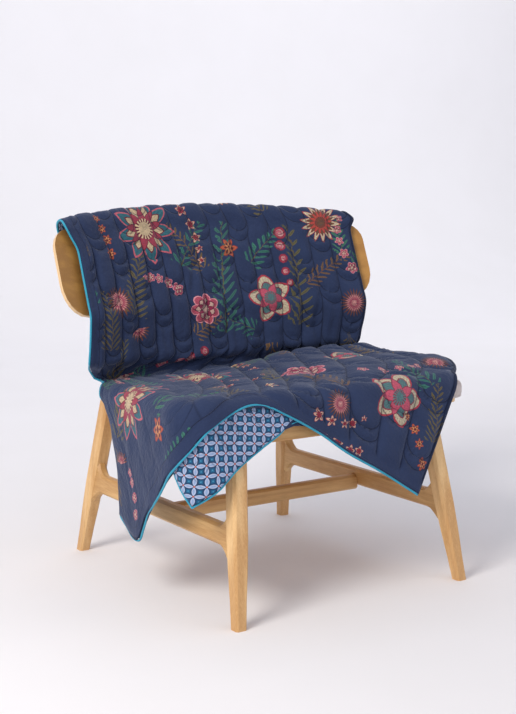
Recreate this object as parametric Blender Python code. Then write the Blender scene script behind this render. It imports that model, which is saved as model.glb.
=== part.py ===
"""A quilted bedspread, folded once along its length, draped over an armless lounge chair.

Metres, +Z up. The origin is on the floor under the middle of the chair, the chair's front faces -Y,
and +X is to the right of someone who faces the chair.
"""

import bpy
import numpy as np

# Gap between pieces that touch
TOUCH = 0.0003

# Legs: places of the feet, how far the legs lean, and their square section
FOOT_X = 0.272
FOOT_Y = 0.316
LEAN_X = 0.111
FRONT_LEAN_Y = 0.196
REAR_LEAN_Y = 0.190
LEG_FOOT_HALF = 0.0118
LEG_HALF = 0.0166
LEG_CHAMFER = 0.32
REAR_FACE_HALF = 0.0165

# Stretchers and rails
STRETCHER_Z = 0.160
STRETCHER_HALF_HEIGHT = 0.0195
STRETCHER_HALF_THICK = 0.011
CROSS_Z = 0.149
CROSS_HALF_HEIGHT = 0.0165
RAIL_Z = 0.3415
RAIL_HALF_HEIGHT = 0.015
RAIL_HALF_THICK = 0.011
FLARE_LENGTH = 0.035
FLARE_HEIGHT = 0.024
FLARE_PARTS = (0.0, 0.25, 0.5, 0.75, 1.0)
STRETCHER_CHAMFER = 0.0055
RAIL_CHAMFER = 0.003

# Seat plan and heights
SEAT_FRONT = -0.262
SEAT_REAR = 0.185
SEAT_HALF_FRONT = 0.350
SEAT_HALF_REAR = 0.294
SEAT_CORNER = 0.045
CORNER_PARTS = 6
BOARD_BOTTOM = RAIL_Z + RAIL_HALF_HEIGHT + TOUCH
BOARD_THICK = 0.0095
BOARD_INSET = 0.014
PAD_BOTTOM = BOARD_BOTTOM + BOARD_THICK + TOUCH
PAD_TOP_FRONT = 0.404
PAD_TOP_REAR = 0.384
PAD_EDGE = 0.016
PAD_FOOT = ((0.0, 0.003), (0.0009, 0.0005))
PAD_ANGLES = np.radians([0, 22.5, 45, 67.5, 90])

# Backrest panel of bent plywood: its front face, its outline and its thickness
BACK_HALF = 0.395
BACK_SAG = 0.100
BACK_LEAN = 0.39
BACK_END_Y = 0.175
BACK_END_Z = 0.700
BACK_TOP_END = 0.712
BACK_TOP_RISE = 0.018
BACK_BOTTOM = 0.540
BACK_TOP_CORNER = 0.034
BACK_LOW_CORNER = 0.070
BACK_PLY = 0.012
BACK_ENDS = np.array([-0.395, -0.3935, -0.388, -0.380, -0.368, -0.350, -0.326])
BACK_MIDDLE = np.linspace(-0.30, 0.30, 15)

# Rear legs above the bend, where they run up the back of the panel
REAR_BEND_Z = 0.545
REAR_TOP_Z = 0.675
REAR_THIN_LOW = 0.0155
REAR_THIN_TOP = 0.0090
REAR_TURN = 0.25

# Heights of the legs' rings: below the seat, then of the rear legs below and above their bend
LEG_HEIGHTS = (0.0, 0.05, 0.10, 0.16, 0.24, 0.32)
REAR_HEIGHTS = (0.40, 0.48)
REAR_UPPER_HEIGHTS = (REAR_BEND_Z, 0.575, 0.61, 0.64, REAR_TOP_Z)

# Cloth: one layer, how far it lies off what is under it, and the quilting
LAYER = 0.006
CLEAR = 0.0025
LAYER_GAP = 0.003
UNDER_OFF = CLEAR + LAYER / 2
TOP_OFF = UNDER_OFF + LAYER + LAYER_GAP
BACK_LEFT = -0.338
UNDER_BACK_LEFT = -0.290
BACK_RIGHT = 0.3595
BACK_CLOTH_RISE = 0.010
BACK_CLOTH_TILT = 0.010
BACK_CLOTH_SINK = 0.002
BACK_HEM = 0.470
HANG_END = 0.445
SCALLOP = 0.125
PUFF = 0.0042
PUFF_LEAST = 0.35
PUFF_END = 6
BORDER = 0.027
PIPING = 0.0024
PIPING_GAP = 0.0008
CREASE_SLACK = 1.2
ARC_SLACK = 1.3

# Cloth behind the backrest: how far it stands off, its roll's angles and its left edge's slant
REAR_OFF = 0.004
ROLL_ANGLES = (0.35, 2.6)
REAR_SLANT = 0.085
REAR_SLANT_Z = (0.72, 0.54)

# Cloth over the front of the backrest: where the roll ends, its wider top and its corners
PANEL_START = 0.014
TOP_WIDER = 0.026
TOP_WIDER_Z = (0.665, 0.735)
RIGHT_CORNER = 0.012
RIGHT_CORNER_Z = 0.722
RIGHT_NARROWER = 0.006
RIGHT_NARROWER_Z = (0.52, 0.44)
HANG_CURVE = 1.5

# The bow of the cloth that hangs in front of the crease, then the crease and the two rows that turn into it
HANG_FORWARD = 0.052
HANG_BOW = 0.055
HANG_BOW_HALF = 0.37
CREASE_Y = 0.176
CREASE_DEEP = 0.012
CREASE_RISE = 0.008
CREASE_FIRST = 0.75
FALLING_DEEP = 0.55
FALLING_BACK = 0.006

# Cloth bunched on the seat: how high, over which widths and depths, and how it fades
BUNCH_LIFT = 0.033
BUNCH_X = (-0.09, 0.20)
BUNCH_LESS = 0.30
BUNCH_LESS_Y = (0.12, 0.0)
BUNCH_FRONT_Y = (SEAT_FRONT, -0.15)
BUNCH_REAR_Y = (CREASE_Y - 0.002, 0.118)
BUNCH_DROP = 0.04

# In front the cloth leans out over the legs; at its left a strip is turned back behind it
FRONT_FLARE = 0.18
FRONT_FLARE_RUN = (0.40, 0.50)
RETURN_SHARE = 0.055
RETURN_PARTS = (0.45, 0.65, 0.85)
RETURN_WIDTH = 0.046
RETURN_RADIUS = 0.0037
RETURN_ROLLS = (0.58, 0.72)
RETURN_WIDENS = (0.72, 0.84)
RETURN_NARROWS = (1.0, 0.86)

# How the top layer lies from the crease to its front edge, a row for each station across it.
# across: metres along the front edge from its left corner, less than 0 along the cloth's side
# crease_x: where it leaves the crease; shoulder: the middle of its way over the seat
# edge_run: where it crosses the seat's edge, as the run round it from the rear left corner
# hem_run, hem_z: where its front edge hangs; ease: how soon it swings there; bulge: how far it swells out
TOP_STATIONS = np.array([
    # across, crease_x, shoulder_x, shoulder_y, edge_run, hem_run, hem_z, ease, bulge
    (-0.098, -0.276, -0.279, 0.166, 0.030, 0.158, 0.150, 2.3, 0.0),
    (0.000, -0.262, -0.275, 0.139, 0.076, 0.249, 0.120, 1.6, 0.0),
    (0.077, -0.248, -0.275, 0.102, 0.140, 0.297, 0.179, 1.2, 0.0),
    (0.191, -0.218, -0.265, 0.030, 0.260, 0.381, 0.257, 1.0, 0.0),
    (0.283, -0.165, -0.225, -0.045, 0.375, 0.439, 0.328, 1.0, 0.0),
    (0.326, -0.130, -0.200, -0.060, 0.430, 0.460, 0.364, 1.0, 0.0),
    (0.358, -0.100, -0.175, -0.065, 0.475, 0.487, 0.383, 1.0, 0.0),
    (0.398, -0.060, -0.145, -0.065, 0.518, 0.524, 0.400, 1.0, 0.0),
    (0.436, -0.020, -0.110, -0.065, 0.556, 0.561, 0.407, 1.0, 0.0),
    (0.470, 0.018, -0.078, -0.065, 0.590, 0.595, 0.402, 1.0, 0.0),
    (0.508, 0.058, -0.042, -0.065, 0.628, 0.629, 0.386, 1.0, 0.0),
    (0.611, 0.165, 0.060, -0.065, 0.716, 0.711, 0.339, 1.0, 0.0),
    (0.687, 0.235, 0.140, -0.070, 0.788, 0.768, 0.298, 1.0, 0.0),
    (0.788, 0.305, 0.255, -0.095, 0.915, 0.848, 0.251, 1.0, 0.006),
    (0.909, 0.350, 0.350, -0.110, 1.082, 0.932, 0.196, 1.0, 0.018),
])

# The same for the layer under it, whose corner hangs lower at the seat's near corner
UNDER_STATIONS = np.array([
    # across, crease_x, shoulder_x, shoulder_y, edge_run, hem_run, hem_z, ease, bulge
    (0.000, -0.246, -0.266, 0.020, 0.330, 0.445, 0.231, 1.0, 0.0),
    (0.104, -0.160, -0.215, -0.035, 0.430, 0.517, 0.292, 1.0, 0.0),
    (0.165, -0.100, -0.165, -0.050, 0.500, 0.573, 0.323, 1.0, 0.0),
    (0.220, -0.040, -0.110, -0.060, 0.565, 0.623, 0.348, 1.0, 0.0),
    (0.260, 0.000, -0.070, -0.065, 0.610, 0.659, 0.369, 1.0, 0.0),
    (0.310, 0.070, -0.010, -0.065, 0.665, 0.705, 0.347, 1.0, 0.0),
    (0.390, 0.170, 0.090, -0.068, 0.750, 0.765, 0.304, 1.0, 0.0),
    (0.490, 0.270, 0.210, -0.085, 0.880, 0.846, 0.257, 1.0, 0.004),
    (0.600, 0.350, 0.350, -0.110, 1.082, 0.932, 0.201, 1.0, 0.018),
])

# Soft folds down the backrest: place across, width, height at the foot of the cloth, and where each fades
BACK_FOLDS = np.array([
    # share, width, depth, fade_z
    (0.14, 0.040, 0.004, 0.68),
    (0.43, 0.038, 0.008, 0.60),
    (0.60, 0.040, 0.005, 0.56),
    (0.75, 0.038, 0.007, 0.64),
    (0.88, 0.036, 0.009, 0.62),
])

# Rows and columns of the cloth's faces; the layer under has fewer columns, but for where it rounds the corner
REAR_ROWS = 3
ROLL_ROWS = 6
PANEL_ROWS = 7
HANG_ROWS = 4
TOP_ROWS = 10
EDGE_ROWS = 4
DROP_ROWS = 9
LONG_DROP = 1.6
QUILT_COLUMNS = 14
UNDER_DENSE = 0.42
FOLD_OUT_ANGLES = np.radians([30, 60, 90, 120, 150])
FOLD_IN_ANGLES = np.radians([45, 90, 135])
PIPING_SIDES = 6
CREASE_ROW = REAR_ROWS + ROLL_ROWS + PANEL_ROWS + HANG_ROWS


def clear_scene():
    for obj in list(bpy.data.objects):
        bpy.data.objects.remove(obj, do_unlink=True)


def material(name, colour, roughness):
    made = bpy.data.materials.new(name)
    made.use_nodes = True
    shader = made.node_tree.nodes["Principled BSDF"]
    shader.inputs["Base Color"].default_value = (*colour, 1.0)
    shader.inputs["Roughness"].default_value = roughness
    return made


def add_mesh(name, points, faces, finish):
    mesh = bpy.data.meshes.new(name)
    mesh.from_pydata([tuple(map(float, p)) for p in points], [], faces)
    mesh.update()
    obj = bpy.data.objects.new(name, mesh)
    bpy.context.scene.collection.objects.link(obj)
    mesh.materials.append(finish)
    return obj


def loft(rings, close_rows=False):
    """Faces that join rings of equal length, with flat ends unless the rows close on themselves."""
    rows = len(rings)
    count = len(rings[0])
    points = np.concatenate(rings)
    faces = []
    for i in range(rows if close_rows else rows - 1):
        low = i * count
        high = (i + 1) % rows * count
        for j in range(count):
            k = (j + 1) % count
            faces.append((low + j, low + k, high + k, high + j))
    if not close_rows:
        faces.append(tuple(range(count - 1, -1, -1)))
        faces.append(tuple((rows - 1) * count + j for j in range(count)))
    return points, faces


def chamfered(half_a, half_b, chamfer):
    """Corners of a rectangle with cut corners, anticlockwise."""
    a, b, c = half_a, half_b, chamfer
    return np.array([(a, -b + c), (a, b - c), (a - c, b), (-a + c, b),
                     (-a, b - c), (-a, -b + c), (-a + c, -b), (a - c, -b)])


def unit(v):
    return v / np.linalg.norm(v, axis=-1, keepdims=True)


def smoothstep(low, high, x):
    t = np.clip((x - low) / (high - low), 0.0, 1.0)
    return t * t * (3.0 - 2.0 * t)


def panel_y(x, z):
    """Front face of the backrest panel at width x and height z."""
    return BACK_END_Y + BACK_LEAN * (z - BACK_END_Z) + BACK_SAG * (1.0 - (x / BACK_HALF) ** 2)


def panel_top(x):
    return BACK_TOP_END + BACK_TOP_RISE * (1.0 - (x / BACK_HALF) ** 2)


def pad_top(y):
    t = (y - SEAT_FRONT) / (SEAT_REAR - SEAT_FRONT)
    return PAD_TOP_FRONT + (PAD_TOP_REAR - PAD_TOP_FRONT) * t


def seat_edge(run):
    """Points and outward normals of the seat's edge, by the run along it from its rear left corner."""
    run = np.asarray(run, float)
    taper = SEAT_HALF_FRONT - SEAT_HALF_REAR
    depth = SEAT_REAR - SEAT_FRONT
    tilt = np.arctan2(taper, depth)
    turn = np.pi / 2 + tilt
    tangent = SEAT_CORNER * np.tan(turn / 2)
    side = np.hypot(taper, depth) - tangent
    arc = SEAT_CORNER * turn
    total = 2 * side + 2 * arc + 2 * (SEAT_HALF_FRONT - tangent)
    mirrored = run > total / 2
    s = np.where(mirrored, total - run, run)
    one = np.ones_like(s)
    down = np.stack([-np.sin(tilt) * one, -np.cos(tilt) * one], -1)
    on_side = np.array([-SEAT_HALF_REAR, SEAT_REAR]) + down * s[..., None]
    side_normal = np.stack([-np.cos(tilt) * one, np.sin(tilt) * one], -1)
    centre = np.array([-SEAT_HALF_FRONT + tangent, SEAT_FRONT + SEAT_CORNER])
    angle = np.clip((s - side) / SEAT_CORNER, 0.0, turn) + np.pi - tilt
    arc_normal = np.stack([np.cos(angle), np.sin(angle)], -1)
    on_arc = centre + SEAT_CORNER * arc_normal
    on_front = np.stack([centre[0] + s - side - arc, SEAT_FRONT * one], -1)
    front_normal = np.stack([0 * one, -one], -1)
    first = (s < side)[..., None]
    second = (s < side + arc)[..., None]
    point = np.where(first, on_side, np.where(second, on_arc, on_front))
    normal = np.where(first, side_normal, np.where(second, arc_normal, front_normal))
    flip = np.stack([np.where(mirrored, -1.0, 1.0), one], -1)
    return point * flip, normal * flip


def seat_outline(inset):
    """The seat's plan, drawn in by an inset, anticlockwise from the rear left."""
    total = 2 * seat_half_run()
    runs = [0.0]
    start = seat_corner_run()
    for part in range(CORNER_PARTS + 1):
        runs.append(start[0] + (start[1] - start[0]) * part / CORNER_PARTS)
    runs += [total - run for run in reversed(runs)]
    point, normal = seat_edge(np.array(runs))
    plan = point - normal * inset
    plan[0] = (-SEAT_HALF_REAR + inset, SEAT_REAR - inset)
    plan[-1] = (SEAT_HALF_REAR - inset, SEAT_REAR - inset)
    return plan


def seat_corner_run():
    """Runs at which the near corner's arc starts and ends."""
    taper = SEAT_HALF_FRONT - SEAT_HALF_REAR
    depth = SEAT_REAR - SEAT_FRONT
    turn = np.pi / 2 + np.arctan2(taper, depth)
    side = np.hypot(taper, depth) - SEAT_CORNER * np.tan(turn / 2)
    return side, side + SEAT_CORNER * turn


def seat_half_run():
    turn = np.pi / 2 + np.arctan2(SEAT_HALF_FRONT - SEAT_HALF_REAR, SEAT_REAR - SEAT_FRONT)
    return seat_corner_run()[1] + SEAT_HALF_FRONT - SEAT_CORNER * np.tan(turn / 2)


def flare_at(run):
    """How far the hanging cloth leans out for each metre down: only in front, where it rests on the legs."""
    return FRONT_FLARE * smoothstep(*FRONT_FLARE_RUN, run)


def over_edge(run, past, off):
    """Points of cloth lying off the pad, by how far they are past the line where its edge starts to round."""
    point, normal = seat_edge(run)
    radius = PAD_EDGE + off
    quarter = radius * np.pi / 2
    angle = np.clip(past, 0.0, quarter) / radius
    rest = np.maximum(past - quarter, 0.0)
    flare = flare_at(run)
    out = radius * np.sin(angle) - PAD_EDGE + flare * rest
    plan = point + normal * out[..., None]
    down = rest * np.sqrt(1 - flare ** 2)
    height = pad_top(point[..., 1]) - PAD_EDGE + radius * np.cos(angle) - down
    return np.concatenate([plan, height[..., None]], -1)


def past_for_height(run, z, off):
    point, _ = seat_edge(run)
    radius = PAD_EDGE + off
    base = pad_top(point[..., 1]) - PAD_EDGE
    curl = radius * np.arccos(np.clip((z - base) / radius, -1.0, 1.0))
    drop = radius * np.pi / 2 + (base - z) / np.sqrt(1 - flare_at(run) ** 2)
    return np.where(z < base, drop, curl)


def through(table, at):
    """Values of a table's later columns at places along its first, on a smooth curve through its rows."""
    x = table[:, 0]
    y = table[:, 1:]
    step = np.diff(x)[:, None]
    slope = np.diff(y, axis=0) / step
    tangent = np.concatenate([slope[:1], slope, slope[-1:]])
    tangent = (tangent[:-1] + tangent[1:]) / 2
    at = np.clip(np.asarray(at, float), x[0], x[-1])
    i = np.clip(np.searchsorted(x, at, side="right") - 1, 0, len(step) - 1)
    h = step[i]
    t = ((at - x[i]) / step[i, 0])[:, None]
    start = y[i] * (1 + 2 * t) * (1 - t) ** 2 + tangent[i] * h * t * (1 - t) ** 2
    end = y[i + 1] * t ** 2 * (3 - 2 * t) + tangent[i + 1] * h * t ** 2 * (t - 1)
    return start + end


def bunch(x, y):
    """How far the bunched cloth stands up off the pad, most behind and to the right."""
    across = smoothstep(*BUNCH_X, x)
    in_front = 1 - BUNCH_LESS * smoothstep(*BUNCH_LESS_Y, y)
    fade = smoothstep(*BUNCH_FRONT_Y, y) * smoothstep(*BUNCH_REAR_Y, y)
    return BUNCH_LIFT * across * in_front * fade


def seat_part(stations, across, off):
    """The cloth from the crease over the seat to its front edge, and each point's length back from there."""
    crease_x, shoulder_x, shoulder_y, edge_run, hem_run, hem_z, ease, bulge = through(stations, across).T
    edge, normal = seat_edge(edge_run)
    entry = edge - normal * PAD_EDGE
    s = np.linspace(0, 1, TOP_ROWS + 1)[:, None, None]
    crease = np.stack([crease_x, np.full_like(crease_x, CREASE_Y)], -1)
    handle = 2 * np.stack([shoulder_x, shoulder_y], -1) - 0.5 * (crease + entry)
    plan = (1 - s) ** 2 * crease + 2 * s * (1 - s) * handle + s ** 2 * entry
    plan[..., 0] += bulge * np.sin(np.pi * s[..., 0] ** 2) ** 2
    height = pad_top(plan[..., 1]) + off + bunch(plan[..., 0], plan[..., 1])
    top = np.concatenate([plan, height[..., None]], -1)
    end = past_for_height(hem_run, hem_z, off)
    quarter = (PAD_EDGE + off) * np.pi / 2
    count = EDGE_ROWS + DROP_ROWS
    k = np.arange(1, count + 1)[:, None]
    even = end * k / count
    below = quarter + (end - quarter) * (k - EDGE_ROWS) / DROP_ROWS
    bent = np.where(k <= EDGE_ROWS, quarter * k / EDGE_ROWS, below)
    past = even + (bent - even) * smoothstep(quarter, LONG_DROP * quarter, end)
    swing = 1 - np.clip(1 - past / end, 0, 1) ** ease
    side = over_edge(edge_run + (hem_run - edge_run) * swing, past, off)
    side[..., 2] += bunch(entry[..., 0], entry[..., 1]) * (1 - smoothstep(0.0, BUNCH_DROP, past))
    points = np.concatenate([top, side])
    steps = np.linalg.norm(np.diff(points, axis=0), axis=-1)
    back = np.concatenate([np.cumsum(steps[::-1], 0)[::-1], np.zeros((1, len(across)))])
    return points, back


def back_part(share, off, edge):
    """The cloth from its back hem over the backrest and down to just above the crease."""
    x = edge + (BACK_RIGHT - edge) * share
    top = panel_top(x)
    away = off / np.cos(np.arctan(BACK_LEAN))
    radius = BACK_PLY / 2 + off
    crown = top - BACK_CLOTH_SINK + BACK_CLOTH_RISE * (1 - (x / BACK_HALF) ** 2) + BACK_CLOTH_TILT * x
    mid_y = panel_y(x, top) + BACK_PLY / 2
    rows = []
    for t in np.linspace(0, 1, REAR_ROWS):
        rows.append((mid_y + radius + REAR_OFF, BACK_HEM + (crown - REAR_OFF - BACK_HEM) * t))
    for angle in np.linspace(*ROLL_ANGLES, ROLL_ROWS):
        rows.append((mid_y + radius * np.cos(angle), crown + radius * np.sin(angle)))
    start = top - PANEL_START
    for t in np.linspace(0, 1, PANEL_ROWS):
        z = start + (BACK_BOTTOM - start) * t
        rows.append((panel_y(x, z) - away, z))
    low_y = panel_y(x, BACK_BOTTOM) - away
    end_y = hang_y(x, off)
    for t in np.linspace(0, 1, HANG_ROWS + 1)[1:]:
        z = BACK_BOTTOM + (HANG_END - BACK_BOTTOM) * t
        rows.append((low_y + (end_y - low_y) * t ** HANG_CURVE, z))
    points = []
    for i, (y, z) in enumerate(rows):
        z = np.broadcast_to(z, x.shape)
        out = edge - TOP_WIDER * smoothstep(*TOP_WIDER_Z, z)
        if i < REAR_ROWS:
            out = out + REAR_SLANT * smoothstep(*REAR_SLANT_Z, z)
        corner = RIGHT_CORNER * np.exp(-((z - RIGHT_CORNER_Z) / RIGHT_CORNER) ** 2) * (y < mid_y + 0.01)
        right = BACK_RIGHT + corner - RIGHT_NARROWER * smoothstep(*RIGHT_NARROWER_Z, z)
        wide = out + (right - out) * share
        y = y + BACK_SAG * (x ** 2 - wide ** 2) / BACK_HALF ** 2
        points.append(np.stack([wide, y, z], -1))
    points = np.array(points)
    front = points[REAR_ROWS + ROLL_ROWS:]
    for place, width, depth, fade in BACK_FOLDS:
        middle = BACK_LEFT + (BACK_RIGHT - BACK_LEFT) * place
        ridge = np.exp(-((front[..., 0] - middle) / width * 2) ** 2)
        front[..., 1] -= depth * smoothstep(fade, HANG_END, front[..., 2]) * ridge
    return points


def hang_y(x, off):
    """How far back the cloth hangs just above the crease: bowed, and closest to the sitter at its ends."""
    return CREASE_Y - HANG_FORWARD + HANG_BOW * (1 - (x / HANG_BOW_HALF) ** 2) + TOP_OFF - off


def crease_part(last, first):
    """Two rows that turn from the hanging cloth into the cloth on the seat."""
    deep = last + (first - last) * CREASE_FIRST
    deep[:, 1] = CREASE_Y + CREASE_DEEP
    deep[:, 2] = first[:, 2] + CREASE_RISE
    falling = last + (deep - last) * FALLING_DEEP
    hanging = hang_y(falling[:, 0], TOP_OFF)
    falling[:, 1] = hanging + (deep[:, 1] - hanging) * FALLING_DEEP + FALLING_BACK
    return np.stack([falling, deep])


def return_fold(points, share):
    """Turns the strip left of the fold line back behind the cloth, over the rows of the seat."""
    edge = int(np.searchsorted(share, RETURN_SHARE - 1e-6))
    rows = len(points)
    for i in range(rows):
        row = points[i]
        t = i / (rows - 1)
        roll = np.pi * smoothstep(*RETURN_ROLLS, t)
        least = np.pi * RETURN_RADIUS
        fuller = smoothstep(*RETURN_WIDENS, t) * smoothstep(*RETURN_NARROWS, t)
        width = least + (RETURN_WIDTH - least) * fuller
        down = points[min(i + 1, rows - 1), edge] - points[max(i - 1, 0), edge]
        down = unit(down)
        along = row[edge + 1] - row[edge]
        along = unit(along - down * np.dot(along, down))
        back = np.cross(along, down)
        for j in range(edge):
            far = width if j == 0 else least * (edge - j) / edge
            angle = min(far / RETURN_RADIUS, roll)
            rest = far - angle * RETURN_RADIUS
            out = RETURN_RADIUS * np.sin(angle) + rest * np.cos(angle)
            deep = RETURN_RADIUS * (1 - np.cos(angle)) + rest * np.sin(angle)
            row[j] = row[edge] - along * out + back * deep


def behind(path, distance):
    """Rows of a path seen from the side, moved back by a distance and mitred where they turn."""
    step = unit(np.diff(path[..., 1:], axis=0))
    back = np.stack([-step[..., 1], step[..., 0]], -1)
    meet = back[:-1] + back[1:]
    share = 1 + np.sum(back[:-1] * back[1:], -1, keepdims=True)
    moved = path[1:-1].copy()
    moved[..., 1:] += distance * meet / share
    return moved


def whole_layer(stations, share, off):
    """Rows over the backrest, at the crease and over the seat, with lengths back from the front edge."""
    on_seat = np.maximum(share - RETURN_SHARE, 0) / (1 - RETURN_SHARE) if off == TOP_OFF else share
    low, high = stations[0, 0], stations[-1, 0]
    across = low + (high - low) * on_seat
    left = BACK_LEFT if off == TOP_OFF else UNDER_BACK_LEFT
    back = back_part(share, off, left)
    seat, length = seat_part(stations, across, off)
    if off == TOP_OFF:
        return_fold(seat, share)
        return back, crease_part(back[-1], seat[0]), seat, length
    shown = back_part(share, TOP_OFF, left)
    above, _ = seat_part(stations, across, TOP_OFF)
    path = np.concatenate([shown[-4:], crease_part(shown[-1], above[0]), above[:1]])
    moved = behind(path, TOP_OFF - off)
    back[-3:] = moved[:3]
    return back, moved[3:], seat, length


def layer(stations, share, off):
    """Middle surface of a layer, rows from its back hem to its front edge, with lengths along it.

    On the seat they run back from the front edge, and above the crease they are level across the cloth.
    """
    back, turn, seat, length = whole_layer(stations, share, off)
    points = np.concatenate([back, turn, seat])
    steps = np.linalg.norm(np.diff(np.concatenate([back, turn, seat[:1]]), axis=0), axis=-1)
    above = np.cumsum(steps, 0)
    whole = np.mean(above[-1] + length[0])
    level = whole - np.concatenate([np.zeros((1, len(share))), above[:-1]])
    return points, np.concatenate([level, length])


def normals_of(points):
    """Unit normals of a grid of points, on the side that shows."""
    normal = np.cross(np.gradient(points, axis=0), np.gradient(points, axis=1))
    return unit(normal)


def puff(share, length):
    """Height of the quilting: columns of long scallops, half a scallop apart, flat in the plain border."""
    place = np.clip(share - RETURN_SHARE, 0, 1) / (1 - RETURN_SHARE) * QUILT_COLUMNS
    column = np.floor(place)
    x = 2 * (place - column) - 1
    arch = (length / SCALLOP + 0.5 * (column % 2)) % 1.0
    end = np.sqrt(np.clip(np.minimum(arch, 1 - arch) * PUFF_END, 0, 1))
    inner, outer = BORDER * 0.6, BORDER * 1.4
    shown = smoothstep(inner, outer, length) * smoothstep(inner, outer, length[:1] - length)
    return PUFF * np.sqrt(np.clip(1 - x ** 2, 0, 1)) * (PUFF_LEAST + (1 - PUFF_LEAST) * end) * shown


def zip_faces(outer, inner):
    """Triangles across an open edge, between its outer points and its fewer inner ones."""
    faces = []
    i = j = 0
    while i < len(outer) - 1 or j < len(inner) - 1:
        ahead = (i + 1) / len(outer) <= (j + 1) / len(inner)
        if j == len(inner) - 1 or (i < len(outer) - 1 and ahead):
            faces.append((outer[i], outer[i + 1], inner[j]))
            i += 1
        else:
            faces.append((outer[i], inner[j + 1], inner[j]))
            j += 1
    return faces


def fold_arc(top, under, half, angles):
    """Points round the folded edge, outside or inside the middle line by half a layer."""
    centre = (top[:, -1] + under[:, -1]) / 2
    lift = (top[:, -1] - under[:, -1]) / 2
    gap = np.linalg.norm(lift, axis=-1, keepdims=True)
    lift = lift / gap
    out = top[:, -1] - top[:, -2]
    out = out - lift * np.sum(out * lift, -1, keepdims=True)
    out = unit(out)
    radius = gap + half
    return np.stack([centre + radius * (lift * np.cos(a) + out * np.sin(a)) for a in angles], 1)


def flip_if_inside_out(points, faces):
    volume = 0.0
    for face in faces:
        for k in range(1, len(face) - 1):
            volume += np.dot(points[face[0]], np.cross(points[face[k]], points[face[k + 1]]))
    return faces if volume > 0 else [tuple(reversed(face)) for face in faces]


def build_bedspread():
    quilt_share = np.linspace(RETURN_SHARE, 1, 2 * QUILT_COLUMNS + 1)
    share = np.concatenate([[0.0], RETURN_SHARE * np.array(RETURN_PARTS), quilt_share])
    top, length = layer(TOP_STATIONS, share, TOP_OFF)
    kept = (quilt_share < UNDER_DENSE) | (np.arange(len(quilt_share)) % 2 == 0)
    under, _ = layer(UNDER_STATIONS, np.concatenate([[0.0], quilt_share[kept]]), UNDER_OFF)
    up = normals_of(top)
    up_under = normals_of(under)
    half = LAYER / 2
    outer = top + up * (half + puff(share, length))[..., None]
    inner = top - up * half
    under_outer = under - up_under * half
    under_inner = under + up_under * half
    fold_out = fold_arc(top, under, half, FOLD_OUT_ANGLES)
    fold_in = fold_arc(top, under, -half, FOLD_IN_ANGLES)
    outside = [outer, fold_out, under_outer[:, ::-1]]
    inside = [under_inner, fold_in[:, ::-1], inner[:, ::-1]]
    rings = np.concatenate(outside + inside, 1)
    rows, count = rings.shape[:2]
    points = rings.reshape(-1, 3)
    faces = []
    for i in range(rows - 1):
        for j in range(count):
            k = (j + 1) % count
            faces.append((i * count + j, i * count + k, (i + 1) * count + k, (i + 1) * count + j))
    n = outer.shape[1]
    m = under.shape[1]
    marks = end_marks(n, fold_out.shape[1], m)
    inner_marks = end_marks(n, fold_in.shape[1], m)
    half_count = marks[-1][1]
    for end, start in ((False, 0), (True, (rows - 1) * count)):
        around = [start + j for j in range(half_count)]
        within = [start + j for j in range(count - 1, half_count - 1, -1)]
        caps = []
        for (a, b), (c, d) in zip(marks, inner_marks):
            caps += zip_faces(around[a:b], within[c:d])
        faces += caps if end else [tuple(reversed(face)) for face in caps]
    faces = flip_if_inside_out(points, faces)
    cloth = material("quilted cotton", (0.045, 0.070, 0.155), 0.85)
    add_mesh("bedspread", points, faces, cloth)
    return top, under


def end_marks(top, fold, under):
    """Where the top layer, the fold and the layer under it start and end along the cloth's open edge."""
    return (0, top), (top - 1, top + fold + 1), (top + fold, top + fold + under)


def along_loop(path):
    """Unit directions along a closed path at its points."""
    return unit(unit(np.roll(path, -1, 0) - path) + unit(path - np.roll(path, 1, 0)))


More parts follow.
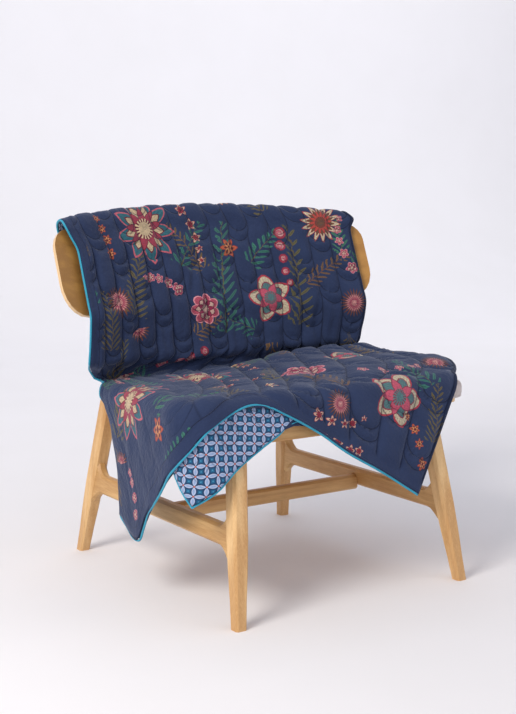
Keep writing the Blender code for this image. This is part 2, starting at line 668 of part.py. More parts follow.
def build_piping(top, under):
    """A round cord along the cloth's whole edge, just outside it."""
    arc = fold_arc(top, under, 0.0, FOLD_IN_ANGLES)
    row = np.arange(len(top))
    over = CREASE_ROW + TOP_ROWS
    near = smoothstep(CREASE_ROW - 3, CREASE_ROW, row) * smoothstep(over + 7, over + 3, row)
    wider = (1 + CREASE_SLACK * near)[:, None]
    path = []
    out = []

    def follow(points, away):
        path.extend(points)
        out.extend(away)

    follow(top[-1, 1:], unit(top[-1, 1:] - top[-2, 1:]))
    follow(arc[-1], unit(arc[-1] - arc[-2]) * ARC_SLACK)
    follow(under[-1, :0:-1], unit(under[-1, :0:-1] - under[-2, :0:-1]))
    corner = unit(under[-1, 0] - under[-2, 0]) + unit(under[-1, 0] - under[-1, 1])
    follow([under[-1, 0]], [corner])
    follow(under[-2:0:-1, 0], unit(under[-2:0:-1, 0] - under[-2:0:-1, 1]) * wider[-2:0:-1])
    corner = unit(under[0, 0] - under[1, 0]) + unit(under[0, 0] - under[0, 1])
    follow([under[0, 0]], [corner])
    follow(under[0, 1:], unit(under[0, 1:] - under[1, 1:]))
    follow(arc[0, ::-1], unit(arc[0, ::-1] - arc[1, ::-1]) * ARC_SLACK)
    follow(top[0, :0:-1], unit(top[0, :0:-1] - top[1, :0:-1]))
    corner = unit(top[0, 0] - top[1, 0]) + unit(top[0, 0] - top[0, 1])
    follow([top[0, 0]], [corner])
    follow(top[1:-1, 0], unit(top[1:-1, 0] - top[1:-1, 1]) * wider[1:-1])
    corner = unit(top[-1, 0] - top[-2, 0]) + unit(top[-1, 0] - top[-1, 1])
    follow([top[-1, 0]], [corner])
    path = np.array(path)
    out = np.array(out)
    tangent = along_loop(path)
    square = unit(out - tangent * np.sum(out * tangent, -1, keepdims=True))
    path = path + square * np.linalg.norm(out, axis=-1, keepdims=True) * (PIPING + PIPING_GAP)
    tangent = along_loop(path)
    first = unit(square - tangent * np.sum(square * tangent, -1, keepdims=True))
    second = np.cross(tangent, first)
    rings = []
    angle = np.arange(PIPING_SIDES) / PIPING_SIDES * 2 * np.pi
    for i in range(len(path)):
        ring = np.outer(np.cos(angle), first[i]) + np.outer(np.sin(angle), second[i])
        rings.append(path[i] + PIPING * ring)
    points, faces = loft(rings, close_rows=True)
    faces = flip_if_inside_out(points, faces)
    add_mesh("piping", points, faces, material("turquoise piping", (0.014, 0.33, 0.50), 0.7))


def add_loft(name, rings, finish):
    points, faces = loft(rings)
    add_mesh(name, points, flip_if_inside_out(points, faces), finish)


def leg_x(z):
    return FOOT_X - LEAN_X * z


def leg_y(z, rear):
    return FOOT_Y - REAR_LEAN_Y * z if rear else -FOOT_Y + FRONT_LEAN_Y * z


def leg_half(z):
    return LEG_FOOT_HALF + (LEG_HALF - LEG_FOOT_HALF) * smoothstep(0.0, STRETCHER_Z, np.asarray(z, float))


def leg_ring(x, y, z, half_a, half_b, turn):
    plan = chamfered(half_a, half_b, LEG_CHAMFER * half_b)
    a = np.array([np.cos(turn), np.sin(turn)])
    b = np.array([-np.sin(turn), np.cos(turn)])
    place = np.array([x, y]) + plan[:, :1] * a + plan[:, 1:] * b
    return np.concatenate([place, np.full((len(place), 1), z)], 1)


def build_legs(oak):
    for side, word in ((-1, "left"), (1, "right")):
        rings = []
        for z in LEG_HEIGHTS + (RAIL_Z + RAIL_HALF_HEIGHT,):
            half = float(leg_half(z))
            rings.append(leg_ring(side * leg_x(z), leg_y(z, False), z, half, half, 0.0))
        add_loft("leg_front_" + word, rings, oak)
        rings = []
        for z in LEG_HEIGHTS + REAR_HEIGHTS:
            half = float(leg_half(z))
            turn = -side * REAR_TURN * float(smoothstep(REAR_HEIGHTS[0], REAR_BEND_Z, z))
            rings.append(leg_ring(side * leg_x(z), leg_y(z, True), z, half, half, turn))
        for z in REAR_UPPER_HEIGHTS:
            x = leg_x(z)
            up = (z - REAR_BEND_Z) / (REAR_TOP_Z - REAR_BEND_Z)
            half = REAR_THIN_LOW + (REAR_THIN_TOP - REAR_THIN_LOW) * up
            slope = 2 * BACK_SAG * x / BACK_HALF ** 2
            normal = np.sqrt(1 + BACK_LEAN ** 2 + slope ** 2)
            back = panel_y(x, z) + BACK_PLY * (1 + BACK_LEAN ** 2) / normal + TOUCH
            turn = np.arctan(slope)
            y = back + half * np.cos(turn)
            moved = side * (x + half * np.sin(turn))
            rings.append(leg_ring(moved, y, z, REAR_FACE_HALF, half, -side * turn))
        add_loft("leg_rear_" + word, rings, oak)


def build_stretchers(oak):
    front = leg_y(STRETCHER_Z, False) + LEG_HALF
    rear = leg_y(STRETCHER_Z, True) - LEG_HALF
    for side, word in ((-1, "left"), (1, "right")):
        rings = []
        for t in FLARE_PARTS:
            rings.append(side_ring(side, front, t * FLARE_LENGTH, (1 - t) ** 2, FRONT_LEAN_Y))
        for t in reversed(FLARE_PARTS):
            rings.append(side_ring(side, rear, -t * FLARE_LENGTH, (1 - t) ** 2, -REAR_LEAN_Y))
        add_loft("stretcher_" + word, rings, oak)
    end = leg_x(CROSS_Z) - STRETCHER_HALF_THICK - TOUCH
    rings = []
    for x in (-end, end):
        plan = chamfered(STRETCHER_HALF_THICK, CROSS_HALF_HEIGHT, STRETCHER_CHAMFER)
        lean = -np.sign(x) * LEAN_X * plan[:, 1]
        rings.append(np.stack([x + lean, plan[:, 0], CROSS_Z + plan[:, 1]], -1))
    add_loft("stretcher_cross", rings, oak)


def side_ring(side, face_y, inward, flare, lean):
    """A section of a side stretcher; its ends follow the leaning legs and swell towards them."""
    height = STRETCHER_HALF_HEIGHT + FLARE_HEIGHT * flare
    plan = chamfered(STRETCHER_HALF_THICK, height, STRETCHER_CHAMFER)
    z = STRETCHER_Z + plan[:, 1]
    x = side * leg_x(z) + plan[:, 0]
    y = face_y + TOUCH * np.sign(lean) + inward + lean * plan[:, 1]
    return np.stack([x, y, z], -1)


def build_rails(oak):
    for rear, word in ((False, "front"), (True, "rear")):
        rings = []
        for side in (-1, 1):
            plan = chamfered(RAIL_HALF_THICK, RAIL_HALF_HEIGHT, RAIL_CHAMFER)
            z = RAIL_Z + plan[:, 1]
            x = side * (leg_x(z) - LEG_HALF - TOUCH)
            rings.append(np.stack([x, leg_y(RAIL_Z, rear) + plan[:, 0], z], -1))
        add_loft("rail_" + word, rings, oak)
    for side, word in ((-1, "left"), (1, "right")):
        rings = []
        for rear, sign in ((False, 1), (True, -1)):
            plan = chamfered(RAIL_HALF_THICK, RAIL_HALF_HEIGHT, RAIL_CHAMFER)
            z = RAIL_Z + plan[:, 1]
            y = leg_y(z, rear) + sign * (LEG_HALF + TOUCH)
            rings.append(np.stack([side * leg_x(RAIL_Z) + plan[:, 0], y, z], -1))
        add_loft("rail_" + word, rings, oak)


def build_seat():
    ply = material("plywood", (0.45, 0.25, 0.09), 0.5)
    rings = []
    for z in (BOARD_BOTTOM, BOARD_BOTTOM + BOARD_THICK):
        plan = seat_outline(BOARD_INSET)
        rings.append(np.concatenate([plan, np.full((len(plan), 1), z)], 1))
    add_loft("seat_board", rings, ply)
    rings = []
    for rise, inset in PAD_FOOT:
        plan = seat_outline(inset)
        rings.append(np.concatenate([plan, np.full((len(plan), 1), PAD_BOTTOM + rise)], 1))
    for angle in PAD_ANGLES:
        plan = seat_outline(PAD_EDGE * (1 - np.cos(angle)))
        z = pad_top(plan[:, 1:]) - PAD_EDGE * (1 - np.sin(angle))
        rings.append(np.concatenate([plan, z], 1))
    add_loft("seat_pad", rings, material("woven upholstery", (0.60, 0.49, 0.47), 0.9))
    columns = []
    for x in np.concatenate([BACK_ENDS, BACK_MIDDLE, -BACK_ENDS[::-1]]):
        top_drop = BACK_TOP_CORNER - corner_arc(abs(x), BACK_TOP_CORNER)
        low_rise = BACK_LOW_CORNER - corner_arc(abs(x), BACK_LOW_CORNER)
        low = BACK_BOTTOM + low_rise
        high = panel_top(x) - top_drop
        slope = -2 * BACK_SAG * x / BACK_HALF ** 2
        normal = np.array([-slope, 1.0, -BACK_LEAN])
        normal = normal / np.linalg.norm(normal) * BACK_PLY
        lower = np.array([x, panel_y(x, low), low])
        upper = np.array([x, panel_y(x, high), high])
        shift = np.array([0.0, normal[1], normal[2]])
        columns.append(np.array([lower, upper, upper + shift, lower + shift]))
    add_loft("backrest_panel", columns, ply)


def corner_arc(x, radius):
    """Height of a rounded corner's arc at a width x, from its full radius down to 0 at the panel's end."""
    past = max(x - (BACK_HALF - radius), 0.0)
    return np.sqrt(max(radius ** 2 - past ** 2, 0.0))


def main():
    clear_scene()
    oak = material("oak", (0.66, 0.38, 0.13), 0.45)
    build_legs(oak)
    build_stretchers(oak)
    build_rails(oak)
    build_seat()
    top, under = build_bedspread()
    build_piping(top, under)


main()
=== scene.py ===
"""A quilted cotton bedspread draped over an armless lounge chair of oak and bent plywood.

Metres, +Z up, the chair's front faces -Y. The cloth's print is a generic floral on navy.
"""

import math
from functools import partial

import bpy
import numpy as np
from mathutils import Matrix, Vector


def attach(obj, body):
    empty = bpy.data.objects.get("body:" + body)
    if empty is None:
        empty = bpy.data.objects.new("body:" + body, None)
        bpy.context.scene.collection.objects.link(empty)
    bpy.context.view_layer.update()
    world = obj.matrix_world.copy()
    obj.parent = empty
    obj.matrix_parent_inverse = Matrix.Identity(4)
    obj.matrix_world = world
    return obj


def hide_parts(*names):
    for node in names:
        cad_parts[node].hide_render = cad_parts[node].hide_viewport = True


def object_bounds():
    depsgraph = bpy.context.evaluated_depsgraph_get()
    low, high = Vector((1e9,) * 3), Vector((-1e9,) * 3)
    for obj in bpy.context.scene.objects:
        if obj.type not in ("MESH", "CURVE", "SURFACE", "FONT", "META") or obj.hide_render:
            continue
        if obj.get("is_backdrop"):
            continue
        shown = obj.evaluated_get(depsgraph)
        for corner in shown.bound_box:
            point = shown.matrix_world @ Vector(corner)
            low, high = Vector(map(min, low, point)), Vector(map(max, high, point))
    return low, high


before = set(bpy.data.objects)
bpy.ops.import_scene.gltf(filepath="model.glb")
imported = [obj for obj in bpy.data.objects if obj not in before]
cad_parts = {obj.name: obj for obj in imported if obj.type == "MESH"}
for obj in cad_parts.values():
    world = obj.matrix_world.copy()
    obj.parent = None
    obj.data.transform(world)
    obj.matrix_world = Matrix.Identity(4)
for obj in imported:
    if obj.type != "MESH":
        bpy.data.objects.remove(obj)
cad_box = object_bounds()

# Seat plan and heights, as in the solids
SEAT_FRONT = -0.262
SEAT_REAR = 0.185
SEAT_HALF_FRONT = 0.350
SEAT_HALF_REAR = 0.294
SEAT_CORNER = 0.045
PAD_BOTTOM = 0.3666
PAD_TOP_FRONT = 0.404
PAD_TOP_REAR = 0.384
PAD_EDGE = 0.016
PAD_CROWN = 0.0011
PAD_SIDE_TOP = 0.0098
# Up the pad's side, over its sewn seam: inset and height above its underside
PAD_SIDE = (
    (0.030, 0.0004), (0.0045, 0.0004), (0.0015, 0.0018), (0.0004, 0.0042),
    (0.0012, 0.0058), (0.0020, 0.0066), (0.0010, 0.0074), (0.0002, 0.0092),
)

# Backrest panel
BACK_HALF = 0.395
BACK_SAG = 0.100
BACK_LEAN = 0.39
BACK_END_Y = 0.175
BACK_END_Z = 0.700
BACK_TOP_END = 0.712
BACK_TOP_RISE = 0.018
BACK_BOTTOM = 0.540
BACK_PLY = 0.012

# Cloth: thickness of a layer, its distance from what is under it, and where its edges lie
LAYER = 0.006
UNDER_OFF = 0.0055
TOP_OFF = 0.0145
BACK_LEFT = -0.338
UNDER_BACK_LEFT = -0.290
BACK_RIGHT = 0.3595
BACK_CLOTH_RISE = 0.010
BACK_CLOTH_TILT = 0.010
BACK_CLOTH_SINK = 0.002
BACK_HEM = 0.470
REAR_OFF = 0.004
ROLL_ANGLES = (0.35, 2.6)
REAR_SLANT = 0.085
REAR_SLANT_Z = (0.72, 0.54)
PANEL_START = 0.014
TOP_WIDER = 0.026
TOP_WIDER_Z = (0.665, 0.735)
RIGHT_CORNER = 0.019
RIGHT_CORNER_Z = 0.719
RIGHT_CORNER_HIGH = 0.011
RIGHT_NARROWER = 0.006
RIGHT_NARROWER_Z = (0.52, 0.44)
HANG_END = 0.445
HANG_CURVE = 1.5
HANG_FORWARD = 0.052
HANG_BOW = 0.055
HANG_BOW_HALF = 0.37
CREASE_Y = 0.176
CREASE_DEEP = 0.012
CREASE_RISE = 0.008
CREASE_FIRST = 0.75
FALLING_DEEP = 0.55
FALLING_BACK = 0.006
BUNCH_LIFT = 0.033
BUNCH_X = (-0.09, 0.20)
BUNCH_LESS = 0.30
BUNCH_LESS_Y = (0.12, 0.0)
BUNCH_FRONT_Y = (SEAT_FRONT, -0.15)
BUNCH_REAR_Y = (CREASE_Y - 0.002, 0.118)
BUNCH_DROP = 0.04
FRONT_FLARE = 0.18
FRONT_FLARE_RUN = (0.40, 0.50)
LONG_DROP = 1.6
RETURN_SHARE = 0.055
RETURN_WIDTH = 0.046
RETURN_RADIUS = 0.0037
RETURN_ROLLS = (0.58, 0.72)
RETURN_WIDENS = (0.72, 0.84)
RETURN_NARROWS = (1.0, 0.86)
PIPING = 0.0022
PIPING_GAP = 0.0001
CREASE_SLACK = 0.3
ARC_SLACK = 1.3
CORNER_NEAR = 0.005
UNDER_DENSE = 0.42

# The cloth's flat size, folded once along its length, and its quilting
FLAT_WIDTH = 1.8
FLAT_LENGTH = 1.4
HALF_WIDTH = FLAT_WIDTH / 2
QUILT_COLUMNS = 14
COLUMN_WIDTH = HALF_WIDTH * (1 - RETURN_SHARE) / QUILT_COLUMNS
SCALLOP = 0.125
BOWL = 0.031
ECHO = 0.024
PUFF = 0.0078
PUFF_WIDTH = 0.018
BORDER = 0.024
DEEPEST = -0.0048
SEAM_SINK = 0.0032
SEAM_CALM = 0.02
ECHO_WIDER = 0.8
ECHO_REACH = 1.6
FLAP_ACROSS = (0.52, 0.38)
FLAP_BACK = (0.60, 0.50)
FLAP_LESS = 0.85
BORDER_FADE = (0.7, 1.3)
HEM_LESS = 0.85
HEM_LESS_ACROSS = (0.56, 0.64)
CREASE_SQUEEZE = 0.85
CREASE_BOW = 0.10
WAVES = 9
RIPPLE = 0.0009
TILE_RIPPLE = 0.0007
TILE_GROOVE = 0.0022
TILES_A_METRE = 52.0
TILE_TURN = 39.5

# How the top layer lies, a row for each station across it, as in the solids
TOP_STATIONS = np.array([
    # across, crease_x, shoulder_x, shoulder_y, edge_run, hem_run, hem_z, ease, bulge
    (-0.098, -0.276, -0.279, 0.166, 0.030, 0.158, 0.150, 2.3, 0.0),
    (0.000, -0.262, -0.275, 0.139, 0.076, 0.249, 0.120, 1.6, 0.0),
    (0.077, -0.248, -0.275, 0.102, 0.140, 0.297, 0.179, 1.2, 0.0),
    (0.191, -0.218, -0.265, 0.030, 0.260, 0.381, 0.257, 1.0, 0.0),
    (0.283, -0.165, -0.225, -0.045, 0.375, 0.439, 0.328, 1.0, 0.0),
    (0.326, -0.130, -0.200, -0.060, 0.430, 0.460, 0.364, 1.0, 0.0),
    (0.358, -0.100, -0.175, -0.065, 0.475, 0.487, 0.383, 1.0, 0.0),
    (0.398, -0.060, -0.145, -0.065, 0.518, 0.524, 0.400, 1.0, 0.0),
    (0.436, -0.020, -0.110, -0.065, 0.556, 0.561, 0.407, 1.0, 0.0),
    (0.470, 0.018, -0.078, -0.065, 0.590, 0.595, 0.402, 1.0, 0.0),
    (0.508, 0.058, -0.042, -0.065, 0.628, 0.629, 0.386, 1.0, 0.0),
    (0.611, 0.165, 0.060, -0.065, 0.716, 0.711, 0.339, 1.0, 0.0),
    (0.687, 0.235, 0.140, -0.070, 0.788, 0.768, 0.298, 1.0, 0.0),
    (0.788, 0.305, 0.255, -0.095, 0.915, 0.848, 0.251, 1.0, 0.006),
    (0.909, 0.350, 0.350, -0.110, 1.082, 0.932, 0.196, 1.0, 0.018),
])
UNDER_STATIONS = np.array([
    # across, crease_x, shoulder_x, shoulder_y, edge_run, hem_run, hem_z, ease, bulge
    (0.000, -0.246, -0.266, 0.020, 0.330, 0.445, 0.231, 1.0, 0.0),
    (0.104, -0.160, -0.215, -0.035, 0.430, 0.517, 0.292, 1.0, 0.0),
    (0.165, -0.100, -0.165, -0.050, 0.500, 0.573, 0.323, 1.0, 0.0),
    (0.220, -0.040, -0.110, -0.060, 0.565, 0.623, 0.348, 1.0, 0.0),
    (0.260, 0.000, -0.070, -0.065, 0.610, 0.659, 0.369, 1.0, 0.0),
    (0.310, 0.070, -0.010, -0.065, 0.665, 0.705, 0.347, 1.0, 0.0),
    (0.390, 0.170, 0.090, -0.068, 0.750, 0.765, 0.304, 1.0, 0.0),
    (0.490, 0.270, 0.210, -0.085, 0.880, 0.846, 0.257, 1.0, 0.004),
    (0.600, 0.350, 0.350, -0.110, 1.082, 0.932, 0.201, 1.0, 0.018),
])
BACK_FOLDS = np.array([
    # share, width, depth, fade_z
    (0.14, 0.040, 0.004, 0.68),
    (0.43, 0.038, 0.008, 0.60),
    (0.60, 0.040, 0.005, 0.56),
    (0.75, 0.038, 0.007, 0.64),
    (0.88, 0.036, 0.009, 0.62),
])

# Rows of the solids, which the finer cloth passes through, and its own spacing
REAR_ROWS = 3
ROLL_ROWS = 6
PANEL_ROWS = 7
HANG_ROWS = 4
TOP_ROWS = 10
EDGE_ROWS = 4
DROP_ROWS = 9
FINE_STEP = 0.0054
CORD_STEP = 0.006
CORD_SIDES = 12
ROWS_TO_CREASE = REAR_ROWS + ROLL_ROWS + PANEL_ROWS + HANG_ROWS

# Creases laid in: from and to, as share across and metres back from the front hem; width, height
CREASES = np.array([
    # share, back, share, back, width, height
    (0.100, 0.300, 0.150, 0.060, 0.011, -0.0022),
    (0.200, 0.330, 0.220, 0.120, 0.013, -0.0020),
    (0.250, 0.340, 0.330, 0.150, 0.010, 0.0016),
    (0.120, 0.180, 0.260, 0.100, 0.010, 0.0014),
    (0.340, 0.300, 0.400, 0.120, 0.012, -0.0020),
    (0.700, 0.330, 0.800, 0.110, 0.012, -0.0018),
    (0.860, 0.380, 0.930, 0.090, 0.013, -0.0026),
    (0.920, 0.300, 0.780, 0.200, 0.010, 0.0016),
    (0.423, 0.620, 0.436, 0.790, 0.009, -0.0075),
    (0.455, 0.610, 0.452, 0.700, 0.008, -0.0050),
    (0.738, 0.620, 0.760, 0.800, 0.009, -0.0075),
    (0.860, 0.610, 0.880, 0.770, 0.009, -0.0080),
    (0.905, 0.610, 0.900, 0.700, 0.008, -0.0050),
    (0.560, 0.600, 0.570, 0.670, 0.008, -0.0030),
    (0.650, 0.600, 0.655, 0.680, 0.008, -0.0028),
    (0.300, 0.600, 0.290, 0.680, 0.008, -0.0030),
    (0.180, 0.600, 0.200, 0.760, 0.009, -0.0030),
    (0.925, 1.090, 0.985, 1.010, 0.006, -0.0060),
    (0.950, 1.100, 1.000, 1.030, 0.007, 0.0040),
])

# Print: blooms of the block, each as across, back, radius, turn in degrees, and its design in BLOOM_DESIGNS
BLOCK_WIDTH = 0.90
BLOCK_LENGTH = 1.06
BLOOM_DESIGNS = {
    # petals, notch, span of the circle, then petal, rim, inner ring and heart
    "sunwheel": (9, 0.44, 1.0, "35707c", "c4606c", "a03c4c", "d8bf98"),
    "dogrose": (5, 0.40, 1.0, "d3c4a6", "b03a44", "c4566a", "5a7f80"),
    "aster": (14, 0.46, 1.0, "d9c8a8", "a8433f", "b84a3c", "75503a"),
    "peony": (7, 0.26, 1.0, "bd5266", "dc8f98", "8e2c48", "dcb4a4"),
    "fan": (11, 0.44, 0.36, "dfd3b6", "c0503f", "b8403a", "e2c092"),
    "thistle": (24, 0.50, 1.0, "7c4a34", "553230", "a34c5c", "dc9a94"),
    "halfthistle": (20, 0.50, 0.42, "85503a", "5d3834", "964052", "d69088"),
    "blossom": (5, 0.50, 1.0, "dcb8a0", "b8504c", "a02c3a", "7d2530"),
    "pink": (5, 0.30, 1.0, "c85a70", "dc96a0", "a33c58", "e4c4b0"),
    "coral": (6, 0.44, 1.0, "c8603f", "93382a", "d6905f", "70292a"),
    "berry": (1, 0.0, 1.0, "b03a4c", "6f2535", "c65f72", "dfa29e"),
    "gold": (4, 0.50, 1.0, "ac7c38", "6a4a26", "94602a", "d6b47c"),
}
BLOOMS = [
    (0.235, 0.215, 0.080, 12, "sunwheel"),
    (0.800, 0.150, 0.062, 40, "dogrose"),
    (0.640, 0.290, 0.050, 5, "peony"),
    (0.070, 0.400, 0.046, 20, "aster"),
    (0.430, 0.400, 0.080, 70, "sunwheel"),
    (0.740, 0.440, 0.056, 10, "dogrose"),
    (0.200, 0.470, 0.040, 35, "peony"),
    (0.545, 0.130, 0.030, 250, "fan"),
    (0.690, 0.080, 0.032, 30, "thistle"),
    (0.090, 0.130, 0.030, 20, "halfthistle"),
    (0.860, 0.330, 0.034, 0, "thistle"),
    (0.330, 0.085, 0.026, 30, "coral"),
    (0.560, 0.530, 0.034, 150, "fan"),
    (0.255, 0.880, 0.082, 22, "sunwheel"),
    (0.620, 0.715, 0.056, 15, "dogrose"),
    (0.815, 0.925, 0.050, 10, "aster"),
    (0.475, 1.000, 0.036, 160, "fan"),
    (0.555, 0.965, 0.028, 200, "fan"),
    (0.105, 0.735, 0.036, 20, "thistle"),
    (0.165, 0.670, 0.030, 200, "halfthistle"),
    (0.400, 0.690, 0.036, 40, "peony"),
    (0.865, 0.735, 0.034, 0, "thistle"),
    (0.800, 0.680, 0.030, 60, "halfthistle"),
    (0.520, 0.830, 0.024, 30, "coral"),
    (0.075, 0.985, 0.024, 0, "gold"),
    (0.715, 0.995, 0.022, 10, "gold"),
]
# Rows of small blossoms: across, back, turn of the row, bend, count, radius, design
CLUSTERS = [
    (0.380, 0.955, -60, -35, 6, 0.018, "blossom"),
    (0.690, 0.880, -100, 25, 5, 0.016, "berry"),
    (0.110, 0.840, 80, 40, 4, 0.014, "coral"),
    (0.880, 0.820, 110, -35, 5, 0.016, "pink"),
    (0.320, 0.740, 150, 30, 5, 0.016, "pink"),
    (0.650, 1.040, 10, 30, 4, 0.016, "blossom"),
    (0.450, 0.180, 55, -30, 6, 0.017, "blossom"),
    (0.160, 0.345, 150, 25, 4, 0.014, "berry"),
    (0.740, 0.240, 20, 40, 5, 0.015, "pink"),
    (0.560, 0.380, 110, -35, 5, 0.015, "blossom"),
    (0.880, 0.060, 120, 30, 4, 0.015, "coral"),
    (0.300, 0.560, 15, 35, 4, 0.016, "berry"),
    (0.140, 0.050, 75, 30, 4, 0.014, "pink"),
    (0.640, 0.030, 10, 40, 5, 0.015, "blossom"),
]
# Sprays: base across and back, turn, length, bend, then leaf spacing, length and width as shares, leaf, stem
SPRAYS = [
    (0.470, 0.640, 92, 0.250, 0.16, 0.085, 0.16, 0.036, "3f7566", "5b5a3f"),
    (0.700, 0.660, 78, 0.230, -0.18, 0.100, 0.15, 0.034, "66603c", "5b5036"),
    (0.150, 0.700, 70, 0.150, 0.12, 0.100, 0.24, 0.046, "6a6040", "5b5036"),
    (0.060, 0.640, 84, 0.120, -0.12, 0.110, 0.26, 0.050, "6b5f3c", "6b5a3a"),
    (0.350, 0.790, 62, 0.120, 0.16, 0.150, 0.28, 0.075, "3a7466", "5b5a3f"),
    (0.420, 0.780, 118, 0.130, -0.12, 0.110, 0.20, 0.042, "75603a", "7a5a3a"),
    (0.580, 0.800, 50, 0.110, 0.12, 0.160, 0.28, 0.075, "3d7b68", "6b5a3a"),
    (0.740, 0.760, 40, 0.130, 0.14, 0.110, 0.20, 0.046, "7a5a38", "6b4a34"),
    (0.860, 0.840, 95, 0.100, -0.10, 0.150, 0.26, 0.070, "447a60", "5b5a3f"),
    (0.660, 0.930, 130, 0.110, 0.12, 0.120, 0.22, 0.050, "6d6442", "6b5a3a"),
    (0.130, 0.950, 40, 0.110, 0.14, 0.110, 0.22, 0.048, "75603a", "7a5a3a"),
    (0.360, 0.640, 30, 0.110, 0.12, 0.120, 0.22, 0.048, "80603a", "7a5a3a"),
    (0.560, 0.640, 150, 0.100, -0.12, 0.150, 0.26, 0.070, "3a7466", "5b5a3f"),
    (0.840, 0.640, 100, 0.120, 0.12, 0.110, 0.20, 0.044, "6d6040", "6b5a3a"),
    (0.330, 0.990, 20, 0.100, 0.14, 0.150, 0.26, 0.070, "3f7a68", "6b5a3a"),
    (0.110, 0.200, 84, 0.160, 0.10, 0.110, 0.22, 0.044, "66603c", "6b5a3a"),
    (0.330, 0.130, 60, 0.130, -0.12, 0.160, 0.26, 0.070, "40765f", "5b5a3f"),
    (0.500, 0.050, 96, 0.140, 0.12, 0.110, 0.22, 0.046, "6d6040", "6b5a3a"),
    (0.720, 0.140, 95, 0.150, -0.14, 0.110, 0.20, 0.044, "7a5a38", "6b4a34"),
    (0.855, 0.210, 100, 0.120, 0.12, 0.150, 0.28, 0.075, "3a7466", "5b5a3f"),
    (0.580, 0.200, 70, 0.170, 0.16, 0.090, 0.18, 0.038, "66603c", "6b5a3a"),
    (0.300, 0.310, 160, 0.130, 0.12, 0.150, 0.26, 0.070, "3f7a68", "5b5a3f"),
    (0.540, 0.430, 15, 0.140, 0.14, 0.130, 0.22, 0.048, "4f7050", "6b5a3a"),
    (0.820, 0.460, 110, 0.130, 0.16, 0.120, 0.22, 0.048, "75603a", "6b5a3a"),
    (0.330, 0.500, 100, 0.110, -0.12, 0.160, 0.26, 0.075, "3a7466", "5b5a3f"),
    (0.640, 0.480, 85, 0.120, 0.12, 0.110, 0.22, 0.046, "80603a", "7a5a3a"),
    (0.130, 0.520, 80, 0.120, 0.12, 0.120, 0.22, 0.046, "66603c", "6b5a3a"),
    (0.050, 0.280, 70, 0.110, -0.10, 0.150, 0.26, 0.070, "447a60", "5b5a3f"),
]
# Attributes that hold their inks, and where a face that has no bloom or spray lies from the nearest
BLOOM_INKS = ("petal", "rim", "ring", "heart")
SPRAY_INKS = ("leaf", "stem")
FAR_OFF = 9.0
# How far a bloom reaches as a share of its radius, and a spray's half width and ends as shares of its length
BLOOM_REACH = 1.06
SPRAY_HALF = 0.34
SPRAY_ENDS = (-0.04, 1.04)

# Solid oak: grain, its axis, light and dark tone, step and start of the value that moves the grain, pieces
OAK_PIECES = (
    ("upright", 2, "fad59c", "b67e42", 1.7, 0.4,
     ("leg_front_left", "leg_front_right", "leg_rear_left", "leg_rear_right")),
    ("front to back", 1, "f4cd90", "ab763b", 2.1, 0.9,
     ("stretcher_left", "stretcher_right", "rail_left", "rail_right")),
    ("side to side", 0, "ecc386", "a8733a", 2.9, 1.3, ("stretcher_cross", "rail_front", "rail_rear")),
)

# Lights: name, place, aim, size, watts, colour; then the camera, solved from the photo
LIGHTS = (
    ("key", (-2.7, -0.9, 2.5), (0.0, 0.0, 0.35), 1.5, 78.0, "fff9f0"),
    ("fill", (1.8, -3.0, 1.6), (0.0, 0.0, 0.4), 2.4, 12.0, "f4f6ff"),
    ("wall", (0.8, 1.6, 3.6), (0.6, 4.6, 1.6), 3.0, 30.0, "ffffff"),
    ("right_wall", (4.2, 1.4, 3.6), (5.0, 4.8, 1.2), 3.0, 52.0, "ffffff"),
)
CAMERA_PLACE = (-1.528, -2.231, 0.82)
CAMERA_DOWN = 7.847
CAMERA_TURN = -34.139
LENS = 65.546

# A Mix node's two colours come after five other sockets
SKIP = [None] * 5
BLEND = {"data_type": "RGBA", "out": 2}


def linear(code):
    """An sRGB hex colour as the linear values that Blender takes."""
    levels = [int(code[i:i + 2], 16) / 255 for i in (0, 2, 4)]
    return [c / 12.92 if c <= 0.04045 else ((c + 0.055) / 1.055) ** 2.4 for c in levels] + [1.0]


def put(value, socket):
    """Gives a socket a value, or links it to another node's output."""
    if isinstance(value, bpy.types.NodeSocket):
        socket.id_data.links.new(value, socket)
    elif value is not None:
        socket.default_value = value


def add_node(tree, kind, *links, out=0, **settings):
    """Adds a node, named as Kind or Kind.OPERATION, with its settings and its sockets' links in their order."""
    kind, _, operation = kind.partition(".")
    node = tree.nodes.new("ShaderNode" + kind)
    if operation:
        node.operation = operation
    for name, value in settings.items():
        setattr(node, name, value)
    for socket, link in zip(node.inputs, links):
        put(link, socket)
    return node.outputs[out]


def set_sockets(node, values):
    """Sets or links a node's sockets by their names."""
    for name, value in values.items():
        put(value, node.inputs[name])


def new_finish(name):
    """An empty material, the function that adds nodes to it, and its shader."""
    made = bpy.data.materials.new(name)
    made.use_nodes = True
    tree = made.node_tree
    return made, partial(add_node, tree), tree.nodes["Principled BSDF"]


def smoothstep(low, high, x):
    t = np.clip((x - low) / (high - low), 0.0, 1.0)
    return t * t * (3.0 - 2.0 * t)


def unit(v):
    return v / np.maximum(np.linalg.norm(v, axis=-1, keepdims=True), 1e-12)


# Shape of the cloth, as in the solids

def panel_y(x, z):
    return BACK_END_Y + BACK_LEAN * (z - BACK_END_Z) + BACK_SAG * (1.0 - (x / BACK_HALF) ** 2)


def panel_top(x):
    return BACK_TOP_END + BACK_TOP_RISE * (1.0 - (x / BACK_HALF) ** 2)


def pad_top(y):
    t = (y - SEAT_FRONT) / (SEAT_REAR - SEAT_FRONT)
    return PAD_TOP_FRONT + (PAD_TOP_REAR - PAD_TOP_FRONT) * t


